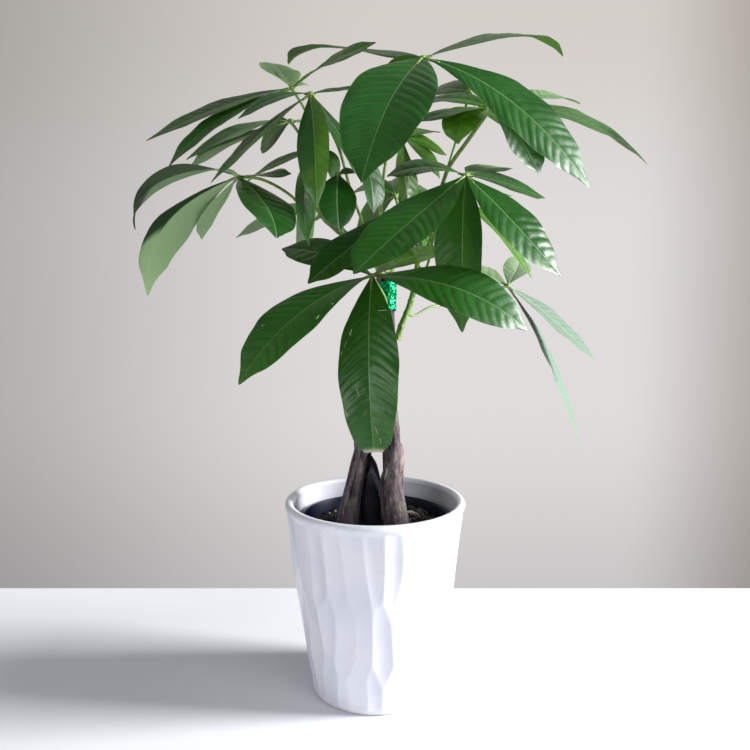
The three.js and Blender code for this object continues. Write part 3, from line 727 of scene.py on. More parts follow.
def shoot_finish(settings):
    """Green young bark with browner patches and pale pores."""
    web = Web("green_shoot")
    where = web.place()
    fibres = web.noise(web.place(scale=(1.0, 1.0, 0.2)), 420.0, 5.0)
    shown = web.blend(web.fade(fibres, 0.35, 0.65), settings.stalk_colour, (0.09, 0.17, 0.025))
    brown = web.fade(web.noise(where, 70.0, 4.0), 0.52, 0.68)
    shown = web.cover(shown, brown, 0.5, (0.09, 0.11, 0.03))
    pores = web.fade(web.cells(where, 520.0), 0.16, 0.08)
    shown = web.cover(shown, pores, 0.5, (0.42, 0.42, 0.24))
    return web.done(shown, web.bump(fibres, 0.4, 0.0006))


def stalk_finish(settings):
    """Thin yellowish green stalks and hubs, paler on a faded leaf."""
    web = Web("leaf_stalk", roughness=0.42)
    where = web.place()
    fibres = web.noise(where, 300.0, 4.0)
    green = web.blend(web.fade(fibres, 0.35, 0.7), settings.stalk_colour, (0.13, 0.24, 0.04))
    pale = web.blend(web.mark("haze"), green, (0.34, 0.43, 0.25))
    warm = web.fade(web.noise(where, 40.0, 3.0), 0.5, 0.7)
    return web.done(web.cover(pale, warm, 0.3, (0.07, 0.12, 0.03)), web.bump(fibres, 0.25, 0.0004))


def veins(web):
    """How much of the midrib, a side vein, its neighbourhood and the net between them
    is at a place, and how far across it is. U is -1 to 1 across the leaflet, V counts
    its side veins, and the mark rib is mm from the midrib."""
    flat = web.axes(web.place("UV"))
    across = web.maths("ABSOLUTE", flat["X"])
    midrib = web.fade(web.maths("ABSOLUTE", web.mark("rib")), 0.25, 0.65, 1.0, 0.0)
    off = web.maths("ABSOLUTE", web.maths("SUBTRACT", web.maths("FRACT", flat["Y"]), 0.5))
    side = web.times(web.fade(off, 0.45, 0.492), web.fade(across, 0.75, 1.0, 1.0, 0.0))
    net = web.fade(web.cells(web.place(), 360.0, "DISTANCE_TO_EDGE"), 0.0, 0.12, 1.0, 0.0)
    return midrib, side, web.fade(off, 0.12, 0.5), net, across


def blade_finish(settings, name, is_top):
    """A blade's face: dark and glossy above, paler and duller beneath."""
    roughness, gloss = (0.33, 0.75) if is_top else (0.5, 0.2)
    web = Web(name, roughness=roughness, IOR=1.5, Specular_IOR_Level=gloss)
    where = web.place()
    midrib, side, near, net, across = veins(web)
    tone, haze, dry = (web.mark(mark) for mark in ("tone", "haze", "dry"))
    cloud = web.noise(where, 26.0, 4.0)
    deep = settings.leaf_colour if is_top else settings.underside_colour
    # Painted light: the green a leaflet is blended towards where it is painted lit, as if the
    # window shone through it
    painted_backlight = settings.painted_backlight_colour if is_top else (0.16, 0.30, 0.045)
    base = web.blend(web.fade(cloud, 0.3, 0.72), deep, brighter(deep, 1.55))
    base = web.blend(web.maths("MAXIMUM", tone, 0.0), base, painted_backlight)
    # Painted shade: darker along the grooves of the side veins, fading out towards the bulge
    # between them
    base = web.cover(base, near, 0.28, brighter(deep, 0.45))
    base = web.cover(base, net, 0.16, brighter(deep, 2.2))
    base = web.cover(base, side, 0.34 if is_top else 0.5, settings.vein_colour)
    # Partly real fading and partly painted light: a middling fade blends to a light pale, given to
    # leaflets in shade, a full fade to a darker grey-green, given to leaflets the window lights
    faded = web.blend(web.fade(haze, 0.5, 1.0), (0.46, 0.64, 0.36), (0.18, 0.265, 0.25))
    base = web.blend(web.fade(haze, 0.0, 0.5, 0.0, 0.85), base, faded)
    # Painted shade, where the mark is below zero
    shade = web.maths("MAXIMUM", web.times(tone, -1.0), 0.0)
    base = web.blend(shade, base, settings.shaded_colour)
    rib_colour = web.blend(haze, settings.midrib_colour, (0.72, 0.80, 0.62))
    base = web.cover(base, midrib, 0.8 if is_top else 0.6, rib_colour)
    base = web.cover(base, web.fade(across, 0.965, 1.0), 0.4, (0.23, 0.30, 0.10))
    specks = web.fade(web.noise(where, 210.0, 2.0), 0.71, 0.75)
    base = web.cover(base, specks, 0.35, (0.30, 0.34, 0.20))
    base = web.blend(dry, base, (0.62, 0.55, 0.40))
    worn = web.fade(cloud, 0.25, 0.75, roughness - 0.05, roughness + 0.1)
    dull = web.times(web.fade(web.maths("MAXIMUM", dry, haze), 0.0, 0.4), 0.3)
    fine = web.times(web.noise(where, 320.0, 3.0), 0.5)
    height = web.maths("ADD", web.times(net, -0.35 if is_top else 0.5), fine)
    wrinkles = web.bump(web.noise(where, 165.0, 2.0, 0.4), 0.3, 0.0008)
    web.done(base, web.bump(height, 0.15, 0.0002, wrinkles), web.maths("ADD", worn, dull))
    light = web.blend(web.fade(haze, 0.0, 1.0, 0.75, 0.0), base, settings.through_colour)
    through = web.feed(web.node("BsdfTranslucent"), Color=light)
    both = web.node("MixShader")
    web.fill(both, settings.translucency, web.surface.outputs[0], through.outputs[0])
    return web.shown_by(both)


def scratch_finish():
    """Dry, corky scar tissue."""
    web = Web("scratch", roughness=0.8)
    grain = web.fade(web.noise(web.place(), 900.0), 0.4, 0.6)
    return web.done(web.blend(grain, (0.34, 0.27, 0.15), (0.6, 0.57, 0.38)))


def floor_finish(settings):
    """A plain, faintly clouded table top."""
    web = Web("table_top", roughness=0.45, Specular_IOR_Level=0.1)
    cloud = web.fade(web.noise(web.place(), 6.0, 3.0), 0.3, 0.7)
    return web.done(web.blend(cloud, settings.floor_colour, brighter(settings.floor_colour, 0.97)))


def wall_finish(settings):
    """A plain wall that glows with painted light, brighter right of the middle."""
    web = Web("room_wall")
    place = web.axes(web.place())
    shown = settings.wall_colour
    for axis, near, far, dim in WALL_FADES:
        dimmed = web.blend(1.0, shown, dim, "MULTIPLY")
        shown = web.blend(web.fade(place[axis], near, far), shown, dimmed)
    return web.shown_by(web.feed(web.node("Emission"), Color=shown))


# Cover pot
def wall_radius(z):
    """The cover pot's outer radius before it is carved."""
    return POT_FOOT_RADIUS + POT_FLARE * z - POT_BELLY * z * z


def make_gouges(depth):
    """Hand-carved gouges in rows that overlap, each a little different."""
    draw = random.Random(GOUGE_SEED)
    rows = []
    for number, (count, middle, reach) in enumerate(GOUGE_ROWS):
        row = []
        for i in range(count):
            stray = draw.uniform(-GOUGE_STRAY, GOUGE_STRAY)
            angle = (i + 0.5 * (number % 2) + stray) * TURN / count
            lean = draw.uniform(-GOUGE_LEAN, GOUGE_LEAN)
            height = middle + draw.uniform(-GOUGE_SHIFT, GOUGE_SHIFT)
            row.append((angle, height, reach + draw.uniform(-8, 12), lean,
                        depth * draw.uniform(0.8, 1.15), GOUGE_SCOOP * draw.uniform(0.8, 1.3)))
        rows.append(row)
    return rows


def carving(rows, angle, z):
    """How deep the wall is cut: the deepest gouge there, and a ridge where two meet."""
    radius = wall_radius(z)
    cuts = []
    for row in rows:
        first = int(angle / TURN * len(row))
        for i in range(first - 2, first + 3):
            centre, middle, reach, lean, depth, scoop = row[i % len(row)]
            aside = (angle - centre + math.pi) % TURN - math.pi
            across = aside * radius - lean * (z - middle)
            away = depth * ((z - middle) / reach) ** 2
            cuts.append(depth - across * across / (2 * scoop) - away)
    deepest = max(cuts)
    if deepest < NO_GOUGE:
        return 0.0
    near = sum(math.exp((cut - deepest) / RIDGE_SOFTNESS) for cut in cuts)
    deepest += RIDGE_SOFTNESS * math.log(near)
    deepest = RIDGE_SOFTNESS * math.log(1 + math.exp(deepest / RIDGE_SOFTNESS))
    edge = ramp(z, CARVED_FROM, CARVED_FROM + 2 * CARVING_RUN_OUT)
    return deepest * edge * (1 - ramp(z, CARVED_TO - CARVING_RUN_OUT, CARVED_TO))


def colour(name, description, default):
    return bpy.props.FloatVectorProperty(name=name, description=description, subtype="COLOR",
                                         size=3, default=default, min=0, max=1)


def power(name, description, default, most):
    return bpy.props.FloatProperty(name=name, description=description, unit="POWER",
                                   default=default, min=0, max=most)


class PlantSizes(bpy.types.PropertyGroup):
    glaze: colour("Glaze", "Colour of the cover pot's glaze", (0.81, 0.815, 0.875))
    glaze_shade: colour("Glaze shade", "Colour where the glaze is thicker", (0.74, 0.745, 0.82))
    carving_depth: bpy.props.FloatProperty(
        name="Carving depth", description="How deep the gouges in the pot are", unit="LENGTH",
        default=1.9 * MM, min=0, max=3 * MM)
    liner_colour: colour(
        "Nursery pot", "Colour of the nursery pot's plastic", (0.005, 0.008, 0.024))
    soil_colour: colour("Soil", "Colour of the damp soil", (0.005, 0.005, 0.008))
    # Painted shade and painted light copies of the bark, which each stem blends between
    bark_dark: colour("Dark bark", "Colour of the shaded old bark", (0.013, 0.012, 0.022))
    lit_bark: colour("Light bark", "Colour of the flaky light bark", (0.22, 0.158, 0.158))
    foil_colour: colour("Foil", "Colour of the foil tie", (0.0, 0.34, 0.09))
    stalk_colour: colour("Stalks", "Colour of the young shoots and leaf stalks", (0.25, 0.39, 0.08))
    leaf_colour: colour("Leaf", "Colour of a mature leaflet's upper face", (0.011, 0.086, 0.008))
    # Painted light: the green that lit leaflets' upper faces are blended towards, as if the window
    # shone through them
    painted_backlight_colour: colour("Young leaf", "Colour of the brightest leaflets", (0.14, 0.33, 0.015))
    underside_colour: colour("Underside", "Colour of a leaflet's lower face", (0.075, 0.17, 0.02))
    shaded_colour: colour(
        "Shaded leaf", "Colour of the darkest leaflet sides", (0.003, 0.034, 0.002))
    vein_colour: colour("Veins", "Colour of the side veins", (0.20, 0.38, 0.11))
    midrib_colour: colour("Midribs", "Colour of the midribs on the upper face", (0.24, 0.42, 0.17))
    through_colour: colour(
        "Light through", "Colour of light that comes through a leaflet", (0.38, 0.66, 0.06))
    translucency: bpy.props.FloatProperty(
        name="Translucency", description="How much light a leaflet lets through",
        subtype="FACTOR", default=0.32, min=0, max=1)
    pleat: bpy.props.FloatProperty(
        name="Pleat height", description="How far a blade bulges between its side veins",
        unit="LENGTH", default=0.55 * MM, min=0, max=2 * MM)


class StageSizes(bpy.types.PropertyGroup):
    lens: bpy.props.FloatProperty(
        name="Lens", description="Focal length of the camera", unit="CAMERA",
        default=38.4, min=10, max=200)
    floor_colour: colour("Floor", "Colour of the table top", (0.89, 0.893, 0.915))
    wall_colour: colour(
        "Background", "Colour of the lit wall behind the table", (0.745, 0.718, 0.712))
    room_light: colour(
        "Room light", "Colour and strength of the light all round", (0.185, 0.189, 0.205))
    window_light: power("Window light", "Power of the light from the right", 1100, 3000)
    front_light: power("Front light", "Power of the soft light from the front right", 12, 500)
    fill_light: power("Fill light", "Power of the low light from the left", 9, 500)


class PLANT_OT_cover_pot(bpy.types.Operator):
    """Make the white cover pot with its carved gouges"""
    bl_idname = "plant.cover_pot"
    bl_label = "Cover Pot"

    def execute(self, context):
        settings = context.scene.plant_sizes
        profile = [(0, 0)]
        for degrees in FOOT_STEPS:
            angle = math.radians(degrees)
            profile.append((POT_FOOT_RADIUS - FOOT_ROUNDING + FOOT_ROUNDING * math.sin(angle),
                            FOOT_ROUNDING * (1 - math.cos(angle))))
        profile += [(wall_radius(z), z) for z in range(FOOT_ROUNDING + 1, CARVED_TO + 1)]
        lip_height = POT_HEIGHT - LIP_RADIUS
        for degrees in LIP_STEPS:
            angle = math.radians(degrees)
            profile.append((LIP_CENTRE_RADIUS + LIP_RADIUS * math.cos(angle),
                            lip_height + LIP_RADIUS * math.sin(angle)))
        profile += [(wall_radius(z) - POT_WALL, z) for z in INSIDE_HEIGHTS]
        corner = wall_radius(POT_FLOOR) - POT_WALL - FLOOR_CORNER
        profile += [(corner, POT_FLOOR), (0, POT_FLOOR)]
        bm = new_mesh()
        turned(bm, profile, POT_SEGMENTS)
        rows = make_gouges(settings.carving_depth / MM)
        for vert in bm.verts:
            x, y, z = vert.co
            radius = math.hypot(x, y)
            if CARVED_FROM < z < CARVED_TO and radius > wall_radius(z) - OUTER_SKIN:
                angle = math.atan2(x, -y) % TURN
                scale = (radius - carving(rows, angle, z)) / radius
                vert.co.x *= scale
                vert.co.y *= scale
        finish_piece(bm, "cover_pot", "pot", [glaze_finish(settings)])
        return {"FINISHED"}


class PLANT_OT_nursery_pot(bpy.types.Operator):
    """Make the thin nursery pot inside the cover pot"""
    bl_idname = "plant.nursery_pot"
    bl_label = "Nursery Pot"

    def execute(self, context):
        rim = LINER_TOP - LINER_RIM_HEIGHT
        inner = LINER_TOP_RADIUS - LINER_WALL
        floor = LINER_BOTTOM + LINER_WALL
        profile = [(0, LINER_BOTTOM), (LINER_FOOT_RADIUS - 1, LINER_BOTTOM),
                   (LINER_FOOT_RADIUS, LINER_BOTTOM + 1),
                   (mix(LINER_FOOT_RADIUS, LINER_TOP_RADIUS, 0.96), rim),
                   (LINER_RIM_RADIUS, rim), (LINER_RIM_RADIUS, LINER_TOP - 0.7),
                   (LINER_RIM_RADIUS - 0.25, LINER_TOP - 0.2), (LINER_RIM_RADIUS - 0.8, LINER_TOP),
                   (inner + 0.7, LINER_TOP), (inner + 0.2, LINER_TOP - 0.25),
                   (inner, LINER_TOP - 0.8)]
        for i in range(1, 9):
            z = mix(LINER_TOP, floor, i / 8)
            profile.append((liner_radius(z) - LINER_WALL, z))
        profile.append((0, floor))
        bm = new_mesh()
        turned(bm, profile, LINER_SEGMENTS)
        finish_piece(bm, "nursery_pot_shell", "nursery_pot",
                     [liner_finish(context.scene.plant_sizes)])
        return {"FINISHED"}


def liner_radius(z):
    """The nursery pot's outer radius."""
    return mix(LINER_FOOT_RADIUS, LINER_TOP_RADIUS,
               (z - LINER_BOTTOM) / (LINER_TOP - LINER_BOTTOM))


def soil_height(x, y):
    """The uneven top of the soil, heaped against the stems."""
    place = Vector((x, y, 0))
    height = SOIL_LEVEL + 1.5 * noise.fractal(place * 0.05, 1.0, 2.0, 4)
    height += 0.8 * noise.fractal(place * 0.35 + Vector((9, 4, 2)), 0.8, 2.1, 5)
    for foot, _ in STEMS.values():
        away = math.hypot(x - foot[1][0], y - foot[1][1]) - foot[1][3]
        height += HEAP_HEIGHT * (1 - ramp(away, 0, HEAP_WIDTH))
    return height


class PLANT_OT_soil(bpy.types.Operator):
    """Make the soil with its crumbs, fine roots and a bit of wood"""
    bl_idname = "plant.soil"
    bl_label = "Soil"

    def execute(self, context):
        settings = context.scene.plant_sizes
        bottom = LINER_BOTTOM + LINER_WALL + SOIL_GAP
        edge = liner_radius(SOIL_LEVEL) - LINER_WALL - SOIL_GAP
        profile = [(0, bottom), (liner_radius(bottom) - LINER_WALL - SOIL_GAP, bottom),
                   (edge - 0.4, SOIL_LEVEL - 6)]
        profile += [(mix(edge, 0, i / SOIL_RINGS), SOIL_LEVEL) for i in range(SOIL_RINGS + 1)]
        bm = new_mesh()
        turned(bm, profile, SOIL_SEGMENTS)
        for vert in bm.verts:
            if vert.co.z > SOIL_LEVEL - 1:
                vert.co.z = soil_height(vert.co.x, vert.co.y)
        draw = random.Random(SOIL_SEED)
        noise.seed_set(SOIL_SEED)
        for _ in range(CRUMBS):
            angle, out = draw.uniform(0, TURN), edge * math.sqrt(draw.uniform(0.02, 0.93))
            size = draw.choice(CRUMB_SIZES)
            x, y = out * math.cos(angle), out * math.sin(angle)
            axis = (draw.random(), draw.random(), draw.random())
            spin = Quaternion(axis, draw.uniform(0, 3)).to_matrix().to_4x4()
            stretch = (draw.uniform(0.8, 1.6), draw.uniform(0.7, 1.1), draw.uniform(0.5, 0.9), 1)
            seat = Matrix.Translation((x, y, soil_height(x, y) + size * 0.25))
            where = seat @ spin @ Matrix.Diagonal(stretch)
            crumb = bmesh.ops.create_icosphere(bm, subdivisions=1, radius=size,
                                               matrix=where)["verts"]
            for vert in crumb:
                vert.co += noise.noise_vector(vert.co * 2.3) * size * 0.35
            if draw.random() < PALE_CRUMBS:
                for face in faces_of(crumb):
                    face.material_index = 1
        for _ in range(FINE_ROOTS):
            start = Vector((31 + draw.uniform(-6, 8), 24 + draw.uniform(-12, 16), 0))
            if draw.random() < STRAY_ROOTS:
                start = Vector((draw.uniform(-42, 40), draw.uniform(-34, 34), 0))
            heading = draw.uniform(0, TURN)
            knots = []
            for i in range(6):
                ahead = Vector((math.cos(heading), math.sin(heading), 0))
                start += ahead * draw.uniform(1.6, 3.6)
                heading += draw.uniform(-0.9, 0.9)
                lift = draw.uniform(0.3, 3.2) if 0 < i < 5 else -0.6
                if start.length > edge - 2:
                    start *= (edge - 2) / start.length
                x, y = start.xy
                knots.append((x, y, soil_height(x, y) + lift, draw.uniform(0.2, 0.45)))
            tube(bm, stations(knots, 14), 5, 1)
        tube(bm, stations(TWIG, 12), 9, 1,
             lambda angle, share, reach: 0.25 * noise.noise(Vector((angle, reach, 3))))
        finish_piece(bm, "potting_soil", "soil", [soil_finish(settings), root_finish()])
        return {"FINISHED"}


def stem_knots(foot, top):
    """The places and radii along a stem: its foot, the braid and its top."""
    offset_foot, radius_foot, turn_from, turn_to = top
    knots = list(foot)
    for i in range(BRAID_KNOTS + 1):
        up = i / BRAID_KNOTS
        angle = math.radians(mix(turn_from, turn_to, up))
        offset = mix(BRAID_TOP_OFFSET, offset_foot, (1 - up) ** BRAID_CLOSING)
        knots.append((mix(BRAID_AXIS_START[0], BRAID_AXIS_END[0], up) + offset * math.cos(angle),
                      mix(BRAID_AXIS_START[1], BRAID_AXIS_END[1], up) + offset * math.sin(angle),
                      mix(BRAID_START, BRAID_END, up),
                      mix(STEM_TOP_RADIUS, radius_foot, (1 - up) ** BRAID_THINNING)))
    x, y = knots[-1][:2]
    return knots + [(x, y, (BRAID_END + STEM_TOP) / 2, STEM_TOP_RADIUS),
                    (x, y, STEM_TOP, STEM_TOP_RADIUS)]


def bark_swell(seed, rugged):
    """Long furrows and flakes, deeper low down on the old wood."""
    def swell(angle, share, reach):
        x, y = math.cos(angle), math.sin(angle)
        old = mix(1.0, 0.35, ramp(share, 0.1, 0.6)) * rugged
        furrow = 1 - abs(noise.noise(Vector((x * 1.6, y * 1.6, reach * 0.035 + seed * 7)) * 1.9))
        fine = noise.fractal(Vector((x * 4, y * 4, reach * 0.3 + seed)), 0.7, 2.0, 4)
        knot = noise.noise(Vector((angle, reach * 0.12, seed)))
        return old * (0.9 * (furrow - 0.85) + 0.45 * fine) + 0.35 * knot * rugged
    return swell


class PLANT_OT_trunk(bpy.types.Operator):
    """Make the four braided stems"""
    bl_idname = "plant.trunk"
    bl_label = "Braided Trunk"

    def execute(self, context):
        settings = context.scene.plant_sizes
        for seed, (name, (foot, top)) in enumerate(STEMS.items()):
            light, rugged = STEM_LOOKS[name]
            bm = new_mesh()
            line = stations(stem_knots(foot, top), STEM_ROWS)
            tube(bm, line, STEM_SIDES, 0, bark_swell(seed, rugged))
            finish = bark_finish(settings, "bark_" + name.removeprefix("stem_"), light)
            finish_piece(bm, name + "_bark", name, [finish])
        return {"FINISHED"}


class PLANT_OT_foil_tie(bpy.types.Operator):
    """Make the crinkled green foil round the top of the trunk"""
    bl_idname = "plant.foil_tie"
    bl_label = "Foil Tie"

    def execute(self, context):
        def shape(c, s):
            angle = c * math.pi
            z = mix(FOIL_BOTTOM, FOIL_TOP, s)
            place = Vector((math.cos(angle) * 5, math.sin(angle) * 5, z * 0.42))
            crease = noise.voronoi(place * 0.75)[0]
            radius = FOIL_RADIUS + FOIL_CREASES * (crease[1] - crease[0] - 0.35)
            radius -= 0.25 * math.sin(angle * 3 + s * 9)
            z += FOIL_EDGE_WAVE * math.sin(angle * 4 + 1) * (s - 0.5) * 2
            return Vector((BRAID_AXIS_END[0] + radius * math.cos(angle),
                           BRAID_AXIS_END[1] + radius * math.sin(angle), z))

        bm = new_mesh()
        places = sheet(bm, *FOIL_GRID, shape)
        bmesh.ops.remove_doubles(bm, verts=list(places), dist=1e-5)
        bmesh.ops.recalc_face_normals(bm, faces=bm.faces[:])
        bmesh.ops.solidify(bm, geom=bm.faces[:], thickness=FOIL_THICKNESS)
        finish_piece(bm, "foil_wrap", "foil_tie",
                     [foil_finish(context.scene.plant_sizes)])
        return {"FINISHED"}


class PLANT_OT_shoots(bpy.types.Operator):
    """Make the green shoots that carry the leaves"""
    bl_idname = "plant.shoots"
    bl_label = "Shoots"

    def execute(self, context):
        finish = shoot_finish(context.scene.plant_sizes)
        for seed, (name, knots) in enumerate(SHOOTS.items()):
            def swell(angle, share, reach, seed=seed):
                off = (reach + seed * 3) % NODE_SPACING - NODE_SPACING / 2
                node = NODE_SWELL * math.exp(-off ** 2 / 1.5)
                place = Vector((math.cos(angle), math.sin(angle), reach * 0.25 + seed))
                return node + 0.25 * noise.noise(place * 1.5)

            bm = new_mesh()
            tube(bm, stations(knots, SHOOT_ROWS), SHOOT_SIDES, 0, swell)
            end = Vector(knots[-1][:3])
            heading = (end - Vector(knots[-2][:3])).normalized()
            for i in range(BUDS):
                aside = heading.orthogonal()
                aside.rotate(Quaternion(heading, TURN * i / BUDS))
                bud = []
                for along, radius in BUD_SHAPE:
                    out = aside * (0.9 + 0.7 * math.sin(math.pi * along))
                    bud.append((*(end + heading * (BUD_LENGTH * along - 1) + out), radius))
                tube(bm, stations(bud, 10), 10)
            finish_piece(bm, name + "_bark", name, [finish])
        return {"FINISHED"}


# Leaves
def rib_point(rib, share):
    """The curve through the hub and the rib points, at a share of its length."""
    knots = (Vector(), *rib)
    last = len(knots) - 1
    point = Vector()
    for i, knot in enumerate(knots):
        weight = 1.0
        for j in range(last + 1):
            if j != i:
                weight *= (share * last - j) / (i - j)
        point += knot * weight
    return point


def blade_frame(rib, roll, share):
    """A place on the rib, and the ways across the blade and up from it there."""
    tangent = (rib_point(rib, share + 0.01) - rib_point(rib, share - 0.01)).normalized()
    up = Vector((rib[-1].x, rib[-1].y, 0)).normalized() + Vector((0, 0, 1))
    up = (up - tangent * up.dot(tangent)).normalized()
    up.rotate(Quaternion(tangent, -math.radians(roll)))
    return rib_point(rib, share), tangent.cross(up), up


def make_leaflet(bm, hub, leaflet, pleat, draw, scratches, round_ended):
    """One blade with an upper and a lower face, its scratches and its short stalk."""
    width, roll, *form, rib, (left, right, tip, haze, dry) = leaflet
    fold, widest, end = form or USUAL_FORM
    rib = [Vector(point) for point in rib]
    length = rib[-1].length
    is_long = length > LONG_BLADE
    vein_count = max(FEWEST_VEINS, round(length / VEIN_SPACING))
    along = vein_count * ROWS_PER_VEIN[is_long]
    across = COLUMNS[is_long]
    power = math.log(0.5) / math.log(widest)
    phase = draw.uniform(0, TURN)
    wave = draw.uniform(0.5, 1.0)
    bend = draw.uniform(-2.5, 2.5)
    slope = math.tan(math.radians(fold))
    pleat *= (width / PLEAT_FULL_WIDTH) ** PLEAT_POWER

    def across_of(c):
        return math.copysign(abs(c) ** CROWDING, c)

    def share_of(c, s):
        """Rows run out from the midrib and up towards the tip, as the side veins do."""
        return s ** (1 - SWEEP * abs(across_of(c)) ** SWEEP_POWER) * end

    def half_width(share, s):
        fullness = mix(BASE_FULLNESS, ROUND_TIP_FULLNESS if round_ended else TIP_FULLNESS,
                       ramp(share, widest - 0.1, widest + 0.25))
        swell = max(math.sin(math.pi * min(share, 1) ** power), 0) ** fullness
        if not round_ended:
            swell *= 1 - POINTED_TIP * ramp(share, 0.84, 0.96)
        if end < 1:
            swell *= 1 - CUT_END * ramp(s, 0.93, 1)
        return max(swell * width / 2, mix(BLADE_ROOT_HALF_WIDTH, BLADE_TIP_HALF_WIDTH, s))

    # Painted light and shade across the leaflet: its left half, its right half, then its tip
    def painted_light_at(c, s):
        return mix(mix(left, right, ramp(c, -0.12, 0.12)), tip, ramp(s, 0.58, 0.74))

    def vein_place(c, s):
        """Where a point is in side veins, which leave the midrib by turns."""
        stray = 0.3 * noise.noise(Vector((s * vein_count * 0.45, 9 * (c > 0), phase)))
        turn = 0.5 * (c > 0.01) + 0.25 * (abs(c) <= 0.01)
        return s * vein_count + stray * ramp(abs(c), 0, 0.1) + turn

    def rib_relief(aside, depth, wide):
        return depth * math.exp(-(aside / wide) ** 2)

    def surface(c, s, face):
        """A point of the upper face (1) or the lower face (-1)."""
        u = across_of(c)
        out = abs(u)
        share = share_of(c, s)
        middle, side, up = blade_frame(rib, roll, share)
        half = half_width(share, s)
        full = min(half / (width / 2), 1)
        height = slope * half * (math.sqrt(out * out + 0.004) - 0.063)
        height -= RIM_DROOP * half * out ** 3
        if 0 < s < 1:
            ridge = abs(math.sin(math.pi * vein_place(c, s))) ** 0.75 - 0.55
            height += pleat * ridge * full * ramp(out, 0, 0.16) * (1 - ramp(out, 0.8, 1.0))
            pucker = noise.noise(Vector((u * half * 0.13, share * length * 0.13, phase)))
            height += PUCKER * pucker * full * ramp(out, 0, 0.2)
            waves = math.sin(phase + s * vein_count * 1.3 + 1.3 * (u > 0))
            height += RIM_WAVE * half * wave * waves * out ** 3
            height -= rib_relief(u * half, *RIB_GROOVE) * full
            thick = BLADE_THICKNESS * (1 - out ** 4) * ramp(s, 0, 0.02) * (1 - ramp(s, 0.98, 1.0))
            height += face * thick / 2
            if face < 0:
                height -= rib_relief(u * half, *RIB_KEEL) * full
        height += bend * math.sin(share * 5 + phase) * 0.25 * full
        return hub + middle + side * (u * half * math.cos(math.radians(fold))) + up * height

    def dryness(c, s):
        return ramp(s, 1 - dry, 1 - 0.4 * dry) if dry else 0.0

    def from_rib(c, s):
        return across_of(c) * half_width(share_of(c, s), s) / (1 - 0.6 * s)

    for face, material in ((1, 0), (-1, 1)):
        places = sheet(bm, across, along, lambda c, s: surface(c, s, face))
        label(bm, places, lambda c, s: (across_of(c), vein_place(c, s)), material,
              tone=painted_light_at, haze=haze, dry=dryness, rib=from_rib)
        if face < 0:
            bmesh.ops.reverse_faces(bm, faces=faces_of(places))
        shell = dict(places) if face > 0 else {**shell, **places}
    border = [vert for vert, (c, s) in shell.items()
              if abs(c) > 0.999 or s < 1e-6 or s > 1 - 1e-6]
    bmesh.ops.remove_doubles(bm, verts=border, dist=1e-4)
    for vert in border:
        if vert.is_valid:
            for edge in vert.link_edges:
                if len({face.material_index for face in edge.link_faces}) == 2:
                    edge.smooth = False
    for from_u, from_share, to_u, to_share, thick in scratches:
        knots = []
        for i in range(3):
            u, share = mix(from_u, to_u, i / 2), mix(from_share, to_share, i / 2)
            c = math.copysign(abs(u) ** (1 / CROWDING), u)
            s = (share / end) ** (1 / (1 - SWEEP * abs(u) ** SWEEP_POWER))
            knots.append((*surface(c, s, 1), thick))
        tube(bm, stations(knots, 6), 6, 3)
    knots = []
    for i, radius in enumerate(STALKLET_RADII):
        middle, _, up = blade_frame(rib, roll, i * STALKLET_STEP)
        knots.append((*(hub + middle - up * 0.15 * i), radius))
    tube(bm, stations(knots, 6, 8), 8, 2, marks={"haze": haze})


def stalk_line(hub, shoot, at, bends, thick):
    """The stalk from inside its shoot to the hub, as the solid's runs."""
    knots = SHOOTS.get(shoot) or stem_knots(*STEMS[shoot])
    centres = [Vector(knot[:3]) for knot in knots]
    place = at * (len(knots) - 1)
    knot = min(int(place), len(knots) - 2)
    radius = max(knots[knot][3], knots[knot + 1][3])
    centre = catmull_rom(centres, place)
    ahead = catmull_rom(centres, min(place + 0.01, len(knots) - 1))
    tangent = (ahead - catmull_rom(centres, place - 0.01)).normalized()
    outward = Vector(bends[0]) - centre
    outward = (outward - tangent * outward.dot(tangent)).normalized()
    start = centre + outward * (radius - STALK_SUNK)
    foot = centre + outward * (radius + STALK_CLEAR)
    bend = foot + outward * STALK_FOOT_LENGTH
    return [(*start, STALK_FOOT_RADIUS), *((*place, thick) for place in (bend, *bends, hub))]


class PLANT_OT_leaves(bpy.types.Operator):
    """Make every compound leaf with its stalk, hub and veined leaflets"""
    bl_idname = "plant.leaves"
    bl_label = "Leaves"

    def execute(self, context):
        settings = context.scene.plant_sizes
        finishes = [blade_finish(settings, "blade_upper_face", True),
                    blade_finish(settings, "blade_lower_face", False), stalk_finish(settings),
                    scratch_finish()]
        pleat = settings.pleat / MM
        for seed, (name, (hub, shoot, at, bends, leaflets)) in enumerate(LEAVES.items()):
            draw = random.Random(LEAF_SEED + seed)
            hub = Vector(hub)
            bm = new_mesh("tone", "haze", "dry", "rib")
            haze = leaflets[-1][-1][3]
            stalk = stalk_line(hub, shoot, at, bends, STOUT_STALKS.get(name, STALK_RADIUS))
            tube(bm, stations(stalk, STALK_ROWS), STALK_SIDES, 2,
                 lambda angle, share, reach: 0.45 * ramp(share, 0.93, 1.0), {"haze": haze})
            seat = Matrix.Translation(hub) @ Matrix.Diagonal((1, 1, HUB_FLATNESS, 1))
            knob = bmesh.ops.create_icosphere(bm, subdivisions=3, radius=HUB_RADIUS, matrix=seat)
            for face in faces_of(knob["verts"]):
                face.material_index = 2
            for number, leaflet in enumerate(leaflets):
                make_leaflet(bm, hub, leaflet, pleat, draw, SCRATCHES.get((name, number), ()),
                             (name, number) in ROUND_ENDED)
            finish_piece(bm, name + "_fine", name, finishes)
        return {"FINISHED"}


